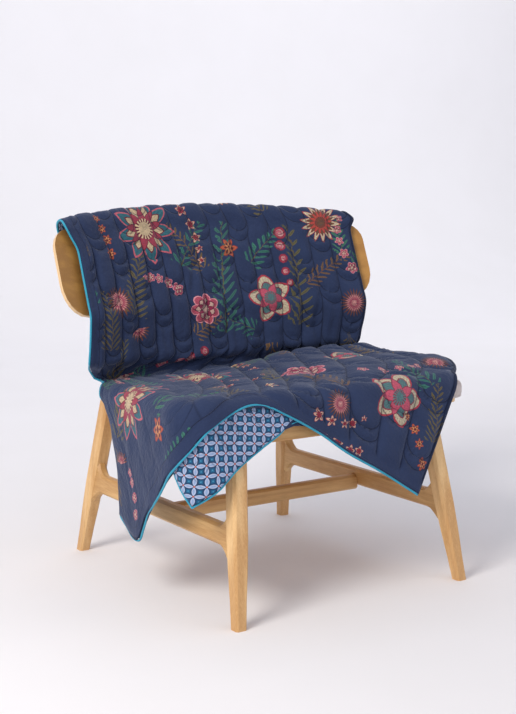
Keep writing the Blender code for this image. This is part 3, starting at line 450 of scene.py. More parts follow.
def seat_lengths():
    """The seat side's tilt, the corner's turn, the side's length and half the run round the seat."""
    taper = SEAT_HALF_FRONT - SEAT_HALF_REAR
    depth = SEAT_REAR - SEAT_FRONT
    tilt = np.arctan2(taper, depth)
    turn = np.pi / 2 + tilt
    tangent = SEAT_CORNER * np.tan(turn / 2)
    side = np.hypot(taper, depth) - tangent
    return tilt, turn, tangent, side, side + SEAT_CORNER * turn + SEAT_HALF_FRONT - tangent


def seat_edge(run):
    """Points and outward normals of the seat's edge, by the run along it from its rear left corner."""
    tilt, turn, tangent, side, half_run = seat_lengths()
    run = np.asarray(run, float)
    mirrored = run > half_run
    s = np.where(mirrored, 2 * half_run - run, run)
    arc = SEAT_CORNER * turn
    one = np.ones_like(s)
    down = np.stack([-np.sin(tilt) * one, -np.cos(tilt) * one], -1)
    on_side = np.array([-SEAT_HALF_REAR, SEAT_REAR]) + down * s[..., None]
    side_normal = np.stack([-np.cos(tilt) * one, np.sin(tilt) * one], -1)
    centre = np.array([-SEAT_HALF_FRONT + tangent, SEAT_FRONT + SEAT_CORNER])
    angle = np.clip((s - side) / SEAT_CORNER, 0.0, turn) + np.pi - tilt
    arc_normal = np.stack([np.cos(angle), np.sin(angle)], -1)
    on_arc = centre + SEAT_CORNER * arc_normal
    on_front = np.stack([centre[0] + s - side - arc, SEAT_FRONT * one], -1)
    front_normal = np.stack([0 * one, -one], -1)
    first = (s < side)[..., None]
    second = (s < side + arc)[..., None]
    point = np.where(first, on_side, np.where(second, on_arc, on_front))
    normal = np.where(first, side_normal, np.where(second, arc_normal, front_normal))
    flip = np.stack([np.where(mirrored, -1.0, 1.0), one], -1)
    return point * flip, normal * flip


def flare_at(run):
    return FRONT_FLARE * smoothstep(*FRONT_FLARE_RUN, run)


def over_edge(run, past, off):
    """Points of cloth lying off the pad, by how far they are past the line where its edge starts to round."""
    point, normal = seat_edge(run)
    radius = PAD_EDGE + off
    quarter = radius * np.pi / 2
    angle = np.clip(past, 0.0, quarter) / radius
    rest = np.maximum(past - quarter, 0.0)
    flare = flare_at(run)
    out = radius * np.sin(angle) - PAD_EDGE + flare * rest
    plan = point + normal * out[..., None]
    height = pad_top(point[..., 1]) - PAD_EDGE + radius * np.cos(angle) - rest * np.sqrt(1 - flare ** 2)
    return np.concatenate([plan, height[..., None]], -1)


def past_for_height(run, z, off):
    """How far past the edge's first rounding the cloth lies at a height."""
    point, _ = seat_edge(run)
    radius = PAD_EDGE + off
    base = pad_top(point[..., 1]) - PAD_EDGE
    curl = radius * np.arccos(np.clip((z - base) / radius, -1.0, 1.0))
    drop = radius * np.pi / 2 + (base - z) / np.sqrt(1 - flare_at(run) ** 2)
    return np.where(z < base, drop, curl)


def curve(values, tangent, h, i, t):
    """Points on the smooth curves from values i to the next ones, which are h apart."""
    start = values[i] * (1 + 2 * t) * (1 - t) ** 2 + tangent[i] * h * t * (1 - t) ** 2
    end = values[i + 1] * t ** 2 * (3 - 2 * t) + tangent[i + 1] * h * t ** 2 * (t - 1)
    return start + end


def through(table, at):
    """Values of a table's later columns at places along its first, on a smooth curve through its rows."""
    x = table[:, 0]
    y = table[:, 1:]
    step = np.diff(x)[:, None]
    slope = np.diff(y, axis=0) / step
    tangent = np.concatenate([slope[:1], slope, slope[-1:]])
    tangent = (tangent[:-1] + tangent[1:]) / 2
    at = np.clip(np.asarray(at, float), x[0], x[-1])
    i = np.clip(np.searchsorted(x, at, side="right") - 1, 0, len(step) - 1)
    t = ((at - x[i]) / step[i, 0])[:, None]
    return curve(y, tangent, step[i], i, t)


def bunch(x, y):
    """How far the bunched cloth stands up off the pad."""
    across = smoothstep(*BUNCH_X, x)
    in_front = 1 - BUNCH_LESS * smoothstep(*BUNCH_LESS_Y, y)
    fade = smoothstep(*BUNCH_FRONT_Y, y) * smoothstep(*BUNCH_REAR_Y, y)
    return BUNCH_LIFT * across * in_front * fade


def seat_part(stations, across, off):
    """The cloth from the crease over the seat to its front edge."""
    crease_x, shoulder_x, shoulder_y, edge_run, hem_run, hem_z, ease, bulge = through(stations, across).T
    edge, normal = seat_edge(edge_run)
    entry = edge - normal * PAD_EDGE
    s = np.linspace(0, 1, TOP_ROWS + 1)[:, None, None]
    crease = np.stack([crease_x, np.full_like(crease_x, CREASE_Y)], -1)
    handle = 2 * np.stack([shoulder_x, shoulder_y], -1) - 0.5 * (crease + entry)
    plan = (1 - s) ** 2 * crease + 2 * s * (1 - s) * handle + s ** 2 * entry
    plan[..., 0] += bulge * np.sin(np.pi * s[..., 0] ** 2) ** 2
    height = pad_top(plan[..., 1]) + off + bunch(plan[..., 0], plan[..., 1])
    top = np.concatenate([plan, height[..., None]], -1)
    end = past_for_height(hem_run, hem_z, off)
    quarter = (PAD_EDGE + off) * np.pi / 2
    count = EDGE_ROWS + DROP_ROWS
    k = np.arange(1, count + 1)[:, None]
    even = end * k / count
    below = quarter + (end - quarter) * (k - EDGE_ROWS) / DROP_ROWS
    bent = np.where(k <= EDGE_ROWS, quarter * k / EDGE_ROWS, below)
    past = even + (bent - even) * smoothstep(quarter, LONG_DROP * quarter, end)
    swing = 1 - np.clip(1 - past / end, 0, 1) ** ease
    side = over_edge(edge_run + (hem_run - edge_run) * swing, past, off)
    side[..., 2] += bunch(entry[..., 0], entry[..., 1]) * (1 - smoothstep(0.0, BUNCH_DROP, past))
    return np.concatenate([top, side])


def hang_y(x, off):
    """How far back the cloth hangs just above the crease: bowed, and closest to the sitter at its ends."""
    return CREASE_Y - HANG_FORWARD + HANG_BOW * (1 - (x / HANG_BOW_HALF) ** 2) + TOP_OFF - off


def back_part(share, off, edge):
    """The cloth from its back hem over the backrest and down to just above the crease."""
    x = edge + (BACK_RIGHT - edge) * share
    top = panel_top(x)
    away = off / np.cos(np.arctan(BACK_LEAN))
    radius = BACK_PLY / 2 + off
    crown = top - BACK_CLOTH_SINK + BACK_CLOTH_RISE * (1 - (x / BACK_HALF) ** 2) + BACK_CLOTH_TILT * x
    mid_y = panel_y(x, top) + BACK_PLY / 2
    rows = []
    for t in np.linspace(0, 1, REAR_ROWS):
        rows.append((mid_y + radius + REAR_OFF, BACK_HEM + (crown - REAR_OFF - BACK_HEM) * t))
    for angle in np.linspace(*ROLL_ANGLES, ROLL_ROWS):
        rows.append((mid_y + radius * np.cos(angle), crown + radius * np.sin(angle)))
    start = top - PANEL_START
    for t in np.linspace(0, 1, PANEL_ROWS):
        z = start + (BACK_BOTTOM - start) * t
        rows.append((panel_y(x, z) - away, z))
    low_y = panel_y(x, BACK_BOTTOM) - away
    end_y = hang_y(x, off)
    for t in np.linspace(0, 1, HANG_ROWS + 1)[1:]:
        z = BACK_BOTTOM + (HANG_END - BACK_BOTTOM) * t
        rows.append((low_y + (end_y - low_y) * t ** HANG_CURVE, z))
    points = []
    for i, (y, z) in enumerate(rows):
        z = np.broadcast_to(z, x.shape)
        out = edge - TOP_WIDER * smoothstep(*TOP_WIDER_Z, z)
        if i < REAR_ROWS:
            out = out + REAR_SLANT * smoothstep(*REAR_SLANT_Z, z)
        pushed = np.exp(-((z - RIGHT_CORNER_Z) / RIGHT_CORNER_HIGH) ** 2) * (y < mid_y + 0.01)
        right = BACK_RIGHT + RIGHT_CORNER * pushed - RIGHT_NARROWER * smoothstep(*RIGHT_NARROWER_Z, z)
        wide = out + (right - out) * share
        y = y + BACK_SAG * (x ** 2 - wide ** 2) / BACK_HALF ** 2
        points.append(np.stack([wide, y, z], -1))
    points = np.array(points)
    front = points[REAR_ROWS + ROLL_ROWS:]
    for place, width, depth, fade in BACK_FOLDS:
        middle = BACK_LEFT + (BACK_RIGHT - BACK_LEFT) * place
        ridge = np.exp(-((front[..., 0] - middle) / width * 2) ** 2)
        front[..., 1] -= depth * smoothstep(fade, HANG_END, front[..., 2]) * ridge
    return points


def crease_part(last, first):
    """Two rows that turn from the hanging cloth into the cloth on the seat."""
    deep = last + (first - last) * CREASE_FIRST
    deep[:, 1] = CREASE_Y + CREASE_DEEP
    deep[:, 2] = first[:, 2] + CREASE_RISE
    falling = last + (deep - last) * FALLING_DEEP
    hanging = hang_y(falling[:, 0], TOP_OFF)
    falling[:, 1] = hanging + (deep[:, 1] - hanging) * FALLING_DEEP + FALLING_BACK
    return np.stack([falling, deep])


def return_fold(points, share):
    """Turns the strip left of the fold line back behind the cloth, over the rows of the seat."""
    edge = int(np.searchsorted(share, RETURN_SHARE - 1e-6))
    rows = len(points)
    least = np.pi * RETURN_RADIUS
    inward = share[:edge] / RETURN_SHARE
    for i in range(rows):
        row = points[i]
        t = i / (rows - 1)
        roll = np.pi * smoothstep(*RETURN_ROLLS, t)
        fuller = smoothstep(*RETURN_WIDENS, t) * smoothstep(*RETURN_NARROWS, t)
        width = least + (RETURN_WIDTH - least) * fuller
        down = unit(points[min(i + 1, rows - 1), edge] - points[max(i - 1, 0), edge])
        along = row[edge + 2] - row[edge]
        along = unit(along - down * np.dot(along, down))
        back = np.cross(along, down)
        far = np.interp(inward, (0, 0.45, 0.65, 0.85, 1), (width, 0.75 * least, 0.5 * least, 0.25 * least, 0))
        angle = np.minimum(far / RETURN_RADIUS, roll)[:, None]
        rest = far[:, None] - angle * RETURN_RADIUS
        out = RETURN_RADIUS * np.sin(angle) + rest * np.cos(angle)
        deep = RETURN_RADIUS * (1 - np.cos(angle)) + rest * np.sin(angle)
        row[:edge] = row[edge] - along * out + back * deep


def behind(path, distance):
    """Rows of a path seen from the side, moved back by a distance and mitred where they turn."""
    step = unit(np.diff(path[..., 1:], axis=0))
    back = np.stack([-step[..., 1], step[..., 0]], -1)
    meet = back[:-1] + back[1:]
    share = 1 + np.sum(back[:-1] * back[1:], -1, keepdims=True)
    moved = path[1:-1].copy()
    moved[..., 1:] += distance * meet / share
    return moved


def layer(stations, share, off):
    """Middle surface of a layer, rows from its back hem to its front edge."""
    top_layer = off == TOP_OFF
    on_seat = np.maximum(share - RETURN_SHARE, 0) / (1 - RETURN_SHARE) if top_layer else share
    low, high = stations[0, 0], stations[-1, 0]
    across = low + (high - low) * on_seat
    left = BACK_LEFT if top_layer else UNDER_BACK_LEFT
    back = back_part(share, off, left)
    seat = seat_part(stations, across, off)
    if top_layer:
        return_fold(seat, share)
        return np.concatenate([back, crease_part(back[-1], seat[0]), seat])
    shown = back_part(share, TOP_OFF, left)
    above = seat_part(stations, across, TOP_OFF)
    path = np.concatenate([shown[-4:], crease_part(shown[-1], above[0]), above[:1]])
    moved = behind(path, TOP_OFF - off)
    back[-3:] = moved[:3]
    return np.concatenate([back, moved[3:], seat])


def smooth_rows(grid, at):
    """Points of a grid's columns at fractional rows, on a smooth curve through the rows it has."""
    step = np.maximum(np.linalg.norm(np.diff(grid, axis=0), axis=-1, keepdims=True), 1e-6)
    slope = np.diff(grid, axis=0) / step
    middle = (slope[:-1] * step[1:] + slope[1:] * step[:-1]) / (step[:-1] + step[1:])
    tangent = np.concatenate([slope[:1], middle, slope[-1:]])
    i = np.clip(at.astype(int), 0, len(step) - 1)
    return curve(grid, tangent, step[i], i, (at - i)[:, None, None])


def normals_of(points):
    """Unit normals of a grid of points, on the side that shows."""
    return unit(np.cross(np.gradient(points, axis=0), np.gradient(points, axis=1)))


def lengths_of(points, crease):
    """Lengths along the columns: back from the front edge on the seat, and level across above the crease's row."""
    steps = np.linalg.norm(np.diff(points, axis=0), axis=-1)
    back = np.concatenate([np.cumsum(steps[::-1], 0)[::-1], np.zeros((1, points.shape[1]))])
    level = back[0].mean() - (back[:1] - back)
    return np.where(np.arange(len(back))[:, None] < crease, level, back)


def quilt(across, back):
    """Height of the quilting, from 0 at a stitch line to 1, by metres across the cloth and back from its hem."""
    place = (across - RETURN_SHARE * HALF_WIDTH) / COLUMN_WIDTH
    column = np.floor(place)
    x = (place - column - 0.5) * COLUMN_WIDTH
    up = ((back / SCALLOP + 0.5 * (column % 2)) % 1.0) * SCALLOP
    half = COLUMN_WIDTH / 2
    side = half - np.abs(x)
    bowl = np.abs(np.hypot(x, np.minimum(up - BOWL, 0) * half / BOWL) - half)
    echo = np.abs(np.hypot(x, (up - SCALLOP) * half / ECHO) - half) * ECHO_WIDER
    near = np.minimum(np.minimum(side, bowl), np.where(up > SCALLOP - ECHO_REACH * ECHO, echo, half))
    return 1 - (1 - np.clip(near / PUFF_WIDTH, 0, 1)) ** 2


def quilting_shown(across, back):
    """How strongly the quilting shows: hardly on the smooth flap at the left of the seat, and not in the border."""
    flap = smoothstep(*FLAP_ACROSS, across / HALF_WIDTH) * smoothstep(*FLAP_BACK, back)
    flap = flap * (across < HALF_WIDTH)
    edge = np.minimum(back, np.minimum(across, FLAT_WIDTH - across))
    return (1 - FLAP_LESS * flap) * smoothstep(BORDER * BORDER_FADE[0], BORDER * BORDER_FADE[1], edge)


def wave_noise(across, back, seed, finest):
    """Soft waves of many directions, from -1 to 1 or so, the same each run; finest is the shortest in metres."""
    draw = np.random.default_rng(seed)
    total = np.zeros_like(across)
    for _ in range(WAVES):
        turn = draw.uniform(0, np.pi)
        wave = draw.uniform(finest, 3 * finest)
        shift = draw.uniform(0, 2 * np.pi)
        total += np.sin(2 * np.pi * (across * np.cos(turn) + back * np.sin(turn)) / wave + shift)
    return total / np.sqrt(WAVES)


def creases(share, back):
    """Heights of the listed creases."""
    total = np.zeros_like(back)
    scale = np.array([HALF_WIDTH * CREASE_SQUEEZE, 1.0])
    place = np.stack(np.broadcast_arrays(share, back), -1) * scale
    for a, b, c, d, width, height in CREASES:
        start = np.array([a, b]) * scale
        way = np.array([c, d]) * scale - start
        t = np.clip(((place - start) @ way) / (way @ way), 0, 1)
        bowed = CREASE_BOW * np.sin(np.pi * t)[..., None] * np.array([-way[1], way[0]])
        gap = np.linalg.norm(place - start - t[..., None] * way - bowed, axis=-1)
        total += height * np.sin(np.pi * np.clip(t, 0.04, 0.96)) ** 0.7 * np.exp(-(gap / width) ** 2)
    return total


def zip_faces(outer, inner):
    """Triangles across an open edge, between its outer points and its inner ones."""
    faces = []
    i = j = 0
    while i < len(outer) - 1 or j < len(inner) - 1:
        if j == len(inner) - 1 or (i < len(outer) - 1 and (i + 1) / len(outer) <= (j + 1) / len(inner)):
            faces.append((outer[i], outer[i + 1], inner[j]))
            i += 1
        else:
            faces.append((outer[i], inner[j + 1], inner[j]))
            j += 1
    return faces


def fold_arc(top, under, half, angles):
    """Points round the folded edge, outside or inside the middle line by half a layer."""
    centre = (top[:, -1] + under[:, -1]) / 2
    lift = (top[:, -1] - under[:, -1]) / 2
    gap = np.linalg.norm(lift, axis=-1, keepdims=True)
    lift = unit(lift)
    out = top[:, -1] - top[:, -2]
    out = unit(out - lift * np.sum(out * lift, -1, keepdims=True))
    radius = gap + half
    return np.stack([centre + radius * (lift * np.cos(a) + out * np.sin(a)) for a in angles], 1)


def add_mesh(name, points, faces):
    """A smooth-shaded object from its points and faces."""
    mesh = bpy.data.meshes.new(name)
    mesh.from_pydata([tuple(map(float, p)) for p in points], [], [tuple(map(int, f)) for f in faces])
    mesh.update()
    made = bpy.data.objects.new(name, mesh)
    bpy.context.scene.collection.objects.link(made)
    mesh.polygons.foreach_set("use_smooth", np.ones(len(mesh.polygons), bool))
    return made


def outwards(points, faces):
    """The faces, turned over if the closed shape is inside out."""
    quads = np.array([f if len(f) == 4 else (*f, f[2]) for f in faces])
    a, b, c, d = (points[quads[:, k]] for k in range(4))
    volume = np.sum(a * np.cross(b, c)) + np.sum(a * np.cross(c, d))
    return faces if volume > 0 else [tuple(reversed(f)) for f in faces]


def set_corners(mesh, name, values):
    """Writes an attribute that has its own value at each corner of each face."""
    kind, key = {1: ("FLOAT", "value"), 3: ("FLOAT_VECTOR", "vector"), 4: ("FLOAT_COLOR", "color")}[values.shape[1]]
    mesh.attributes.new(name, kind, "CORNER").data.foreach_set(key, values.astype(np.float32).ravel())


def ring_quads(rows, count, closed=False):
    """Quads between rings of points, each ring a row; where closed, the last ring joins the first one too."""
    i, j = np.meshgrid(np.arange(rows if closed else rows - 1), np.arange(count), indexing="ij")
    k = (j + 1) % count
    n = (i + 1) % rows
    quads = np.stack([i * count + j, i * count + k, n * count + k, n * count + j], -1)
    return [tuple(q) for q in quads.reshape(-1, 4)]


def corner_points(mesh):
    """The number of the point at each corner of each face."""
    found = np.empty(len(mesh.loops), int)
    mesh.loops.foreach_get("vertex_index", found)
    return found


def set_map(mesh, name, values):
    """Writes a flat map from its values at each corner of each face."""
    mesh.uv_layers.new(name=name).data.foreach_set("uv", values.astype(np.float32).ravel())


def cloth_ring():
    """The bedspread's rings, one for each row: points, metres across and back, and how strong the quilting is."""
    strip = RETURN_SHARE * np.array([0, 0.15, 0.3, 0.45, 0.52, 0.58, 0.65, 0.72, 0.78, 0.85, 0.92])
    top_share = np.concatenate([strip, np.linspace(RETURN_SHARE, 1, 12 * QUILT_COLUMNS + 1)])
    inner_share = np.concatenate([strip[::2], np.linspace(RETURN_SHARE, 1, 2 * QUILT_COLUMNS + 1)])
    tile_share = np.concatenate([np.linspace(0, 0.5, 57), np.linspace(0.5, 1, 22)[1:]])
    outer_share = np.concatenate([np.linspace(0, 0.5, 22), np.linspace(0.5, 1, 16)[1:]])
    coarse = layer(TOP_STATIONS, top_share, TOP_OFF)
    step = np.linalg.norm(np.diff(coarse, axis=0), axis=-1).mean(1)
    at = [0.0]
    for i, length in enumerate(step):
        parts = max(2, int(round(length / FINE_STEP)))
        at += list(i + np.arange(1, parts + 1) / parts)
    at = np.array(at)
    at[-1] = len(step)
    crease = np.searchsorted(at, ROWS_TO_CREASE + 2)
    top = smooth_rows(coarse, at)
    top_inner = smooth_rows(layer(TOP_STATIONS, inner_share, TOP_OFF), at)
    tile = smooth_rows(layer(UNDER_STATIONS, tile_share, UNDER_OFF), at)
    under = smooth_rows(layer(UNDER_STATIONS, outer_share, UNDER_OFF), at)
    half = LAYER / 2
    back = lengths_of(top, crease)
    across = np.broadcast_to(top_share * HALF_WIDTH, back.shape)
    from_rear = smoothstep(0.0, SEAM_CALM, back[:1] - back)
    shown = quilting_shown(across, back) * from_rear
    calm = smoothstep(0.0, SEAM_CALM, back) * from_rear
    relief = shown * (PUFF * quilt(across, back) - SEAM_SINK) + creases(top_share[None, :], back) * calm
    relief += RIPPLE * wave_noise(across, back, 3, 0.045) * calm
    panel_row = REAR_ROWS + ROLL_ROWS
    over = smoothstep(REAR_ROWS - 1, REAR_ROWS, at) * smoothstep(panel_row + 2, panel_row, at)
    relief = np.maximum(relief * (1 - 0.5 * over[:, None]), DEEPEST)
    outer = top + normals_of(top) * (half + relief)[..., None]
    inner = top_inner - normals_of(top_inner) * half
    back_tile = lengths_of(tile, crease)
    across_tile = np.broadcast_to(FLAT_WIDTH - tile_share * HALF_WIDTH, back_tile.shape)
    shown_tile = quilting_shown(across_tile, back_tile)
    groove = TILE_GROOVE * (1 - quilt(across_tile, back_tile)) * shown_tile
    groove += TILE_RIPPLE * wave_noise(across_tile, back_tile, 5, 0.03)
    tile_face = tile + normals_of(tile) * (half - groove)[..., None]
    back_under = lengths_of(under, crease)
    across_under = np.broadcast_to(FLAT_WIDTH - outer_share * HALF_WIDTH, back_under.shape)
    under_face = under - normals_of(under) * (half - 0.001 * (1 - quilt(across_under, back_under)))[..., None]
    out_angles = np.radians([15, 35, 60, 90, 120, 145, 165])
    in_angles = np.radians([45, 90, 135])
    arc_out = fold_arc(top, under, half, out_angles)
    arc_in = fold_arc(top, under, -half, in_angles)
    back_inner = lengths_of(top_inner, crease)
    sections = [
        # points, metres across, metres back, quilting shown, printed face
        (outer, across, back, shown, True),
        (arc_out, HALF_WIDTH, back[:, -1:], 1.0, True),
        (under_face[:, ::-1], across_under[:, ::-1], back_under[:, ::-1], 1.0, True),
        (tile_face, across_tile, back_tile, shown_tile, False),
        (arc_in[:, ::-1], HALF_WIDTH, back[:, -1:], 1.0, False),
        (inner[:, ::-1], (inner_share * HALF_WIDTH)[::-1], back_inner[:, ::-1], 1.0, False),
    ]
    ring = np.concatenate([s[0] for s in sections], 1)
    across_all, back_all, strength = (
        np.concatenate([np.broadcast_to(s[part], s[0].shape[:2]) for s in sections], 1) for part in (1, 2, 3))
    flat = np.stack([across_all, back_all], -1)
    counts = [s[0].shape[1] for s in sections]
    printed = np.repeat([s[4] for s in sections], counts)
    tiles = flat.copy()
    first = sum(counts[:3])
    tiles[:, first:first + counts[3], 0] = tile_share * (UNDER_STATIONS[-1, 0] - UNDER_STATIONS[0, 0])
    return ring, flat, strength, counts, printed, tiles, (across, back, top)


def cloth_faces(rows, counts):
    """Quads round the rings, then triangles across their two open ends."""
    count = sum(counts)
    faces = ring_quads(rows, count)
    n, f, m, m2, g, n2 = counts
    for end, start in ((False, 0), (True, (rows - 1) * count)):
        outside = [start + j for j in range(n + f + m)]
        inside = [start + j for j in range(count - 1, n + f + m - 1, -1)]
        marks = ((0, n), (n - 1, n + f + 1), (n + f, n + f + m))
        inner_marks = ((0, n2), (n2 - 1, n2 + g + 1), (n2 + g, n2 + g + m2))
        for (a, b), (c, d) in zip(marks, inner_marks):
            caps = zip_faces(outside[a:b], inside[c:d])
            faces += caps if end else [tuple(reversed(face)) for face in caps]
    return faces


def block_copies(across, back):
    """Where a motif of the print's block falls on the whole cloth: each next block is moved over by a half."""
    for column in range(-1, 3):
        for row in range(-1, 3):
            u = across + column * BLOCK_WIDTH
            v = back + row * BLOCK_LENGTH + 0.5 * BLOCK_LENGTH * (column % 2)
            if -0.1 < u < FLAT_WIDTH + 0.1 and -0.1 < v < FLAT_LENGTH + 0.1:
                yield u, v


def all_blooms():
    """Every bloom on the cloth: across, back, radius, turn, design."""
    found = list(BLOOMS)
    for u, v, turn, bend, count, radius, design in CLUSTERS:
        angle = math.radians(turn)
        for i in range(count):
            size = radius * (1 - 0.09 * i)
            found.append((u, v, size, 70 * i + turn, design))
            u += 2.15 * size * math.cos(angle)
            v += 2.15 * size * math.sin(angle)
            angle += math.radians(bend / count * 1.4)
    for u, v, radius, turn, design in found:
        for across, back in block_copies(u, v):
            yield across, back, radius, turn, design


def local_plan(place, flat, points, facts, reach):
    """Faces near a motif, and their corners in metres across and back from its middle, undistorted by the drape."""
    near = np.flatnonzero(np.abs(flat.mean(1) - place).max(1) < 1.5 * reach)
    if not len(near) or place[0] > HALF_WIDTH + reach:
        return near, flat[near] - place
    across, back, top = facts
    column = int(np.clip(np.searchsorted(across[0], place[0]), 1, across.shape[1] - 2))
    row = int(np.clip(np.argmin(np.abs(back[:, column] - place[1])), 1, len(back) - 2))
    middle = top[row, column]
    first = unit(top[row, min(column + 6, across.shape[1] - 1)] - top[row, max(column - 6, 0)])
    up = unit(np.cross(top[max(row - 6, 0), column] - top[min(row + 6, len(back) - 1), column], first))
    second = np.cross(first, up)
    gap = points[near] - middle
    flat_gap = np.stack([gap @ first, gap @ second], -1)
    far = np.linalg.norm(gap, axis=-1, keepdims=True)
    level = np.linalg.norm(flat_gap, axis=-1, keepdims=True)
    return near, flat_gap * far / np.maximum(level, 1e-6)


def lay_print(corners, points, facts):
    """Gives each face the nearest bloom and spray: their own coordinates at its corners, and their colours."""
    count = len(corners)
    bloom = np.full((count, 4, 2), FAR_OFF)
    shape = np.zeros((count, 3))
    colours = np.zeros((4, count, 4))
    nearest = np.full(count, BLOOM_REACH)
    for across, back, radius, turn, design in all_blooms():
        petals, notch, span, *inks = BLOOM_DESIGNS[design]
        near, plan = local_plan(np.array([across, back]), corners, points, facts, radius)
        plan = plan / radius
        far = np.linalg.norm(plan.mean(1), axis=1)
        picked = far < nearest[near]
        mine = near[picked]
        nearest[mine] = far[picked]
        sine, cosine = math.sin(math.radians(turn)), math.cos(math.radians(turn))
        bloom[mine] = plan[picked] @ np.array([[cosine, -sine], [sine, cosine]])
        shape[mine] = (petals, notch, span)
        for ink, code in enumerate(inks):
            colours[ink, mine] = linear(code)
    spray = np.full((count, 4, 2), FAR_OFF)
    leafing = np.full((count, 3), 0.1)
    spray_colours = np.zeros((2, count, 4))
    free = np.full(count, SPRAY_HALF)
    for u, v, turn, length, bend, spacing, leaf, width, *inks in SPRAYS:
        for across, back in block_copies(u, v):
            sine, cosine = math.sin(math.radians(turn)), math.cos(math.radians(turn))
            near, plan = local_plan(np.array([across, back]), corners, points, facts, 0.75 * length)
            place = plan / length @ np.array([[sine, cosine], [-cosine, sine]])
            place[..., 0] -= bend * place[..., 1] ** 2
            centre = place.mean(1)
            off = np.abs(centre[:, 0])
            picked = (centre[:, 1] > SPRAY_ENDS[0]) & (centre[:, 1] < SPRAY_ENDS[1]) & (off < free[near])
            mine = near[picked]
            free[mine] = off[picked]
            spray[mine] = place[picked]
            leafing[mine] = (spacing, leaf, width)
            for ink, code in enumerate(inks):
                spray_colours[ink, mine] = linear(code)
    return bloom, shape, colours, spray, leafing, spray_colours


def build_bedspread():
    """The quilted sheet in its two layers, with the print on its face and the ring tiles on its reverse."""
    ring, flat, strength, counts, printed, tiles, top_facts = cloth_ring()
    rows, count = ring.shape[:2]
    points = ring.reshape(-1, 3)
    faces = outwards(points, cloth_faces(rows, counts))
    made = add_mesh("bedspread_quilted", points, faces)
    mesh = made.data
    loops = corner_points(mesh)
    flat = flat.reshape(-1, 2)
    quads = (rows - 1) * count
    is_print = printed | np.roll(printed, -1)
    tile_face = np.tile(~is_print, rows - 1)
    mesh.materials.append(cotton_print())
    mesh.materials.append(cotton_tiles())
    slots = np.zeros(len(mesh.polygons), int)
    slots[:quads] = tile_face
    mesh.polygons.foreach_set("material_index", slots)
    set_map(mesh, "cloth", flat[loops])
    set_map(mesh, "tiles", tiles.reshape(-1, 2)[loops])
    band = BORDER * (1 - HEM_LESS * smoothstep(*HEM_LESS_ACROSS, flat[:, 0] / HALF_WIDTH))
    rim = np.minimum(np.minimum(flat[:, 0], FLAT_WIDTH - flat[:, 0]) / BORDER, flat[:, 1] / band)
    set_corners(mesh, "to_rim", rim[loops, None])
    quad_corners = loops[:4 * quads].reshape(-1, 4)
    laid = np.flatnonzero(~tile_face)
    bloom, shape, colours, spray, leafing, spray_colours = lay_print(
        flat[quad_corners[laid]], points[quad_corners[laid]], top_facts)
    total = len(loops)

    def on_corners(values, empty):
        whole = np.full((total, values.shape[-1]), float(empty))
        four = np.repeat(values[:, None, :], 4, 1) if values.ndim == 2 else values
        whole[:4 * quads].reshape(-1, 4, values.shape[-1])[laid] = four
        return whole

    set_map(mesh, "bloom", on_corners(bloom, FAR_OFF))
    set_map(mesh, "spray", on_corners(spray, FAR_OFF))
    set_corners(mesh, "bloom_shape", on_corners(shape, 1))
    set_corners(mesh, "leafing", on_corners(leafing, 0.1))
    for name, values in zip(BLOOM_INKS + SPRAY_INKS, (*colours, *spray_colours)):
        set_corners(mesh, name, on_corners(values, 1))
    set_corners(mesh, "quilting", strength.reshape(-1, 1)[loops])
    mesh.validate()
    return made


def along_loop(path):
    """Unit directions along a closed path at its points."""
    return unit(unit(np.roll(path, -1, 0) - path) + unit(path - np.roll(path, 1, 0)))


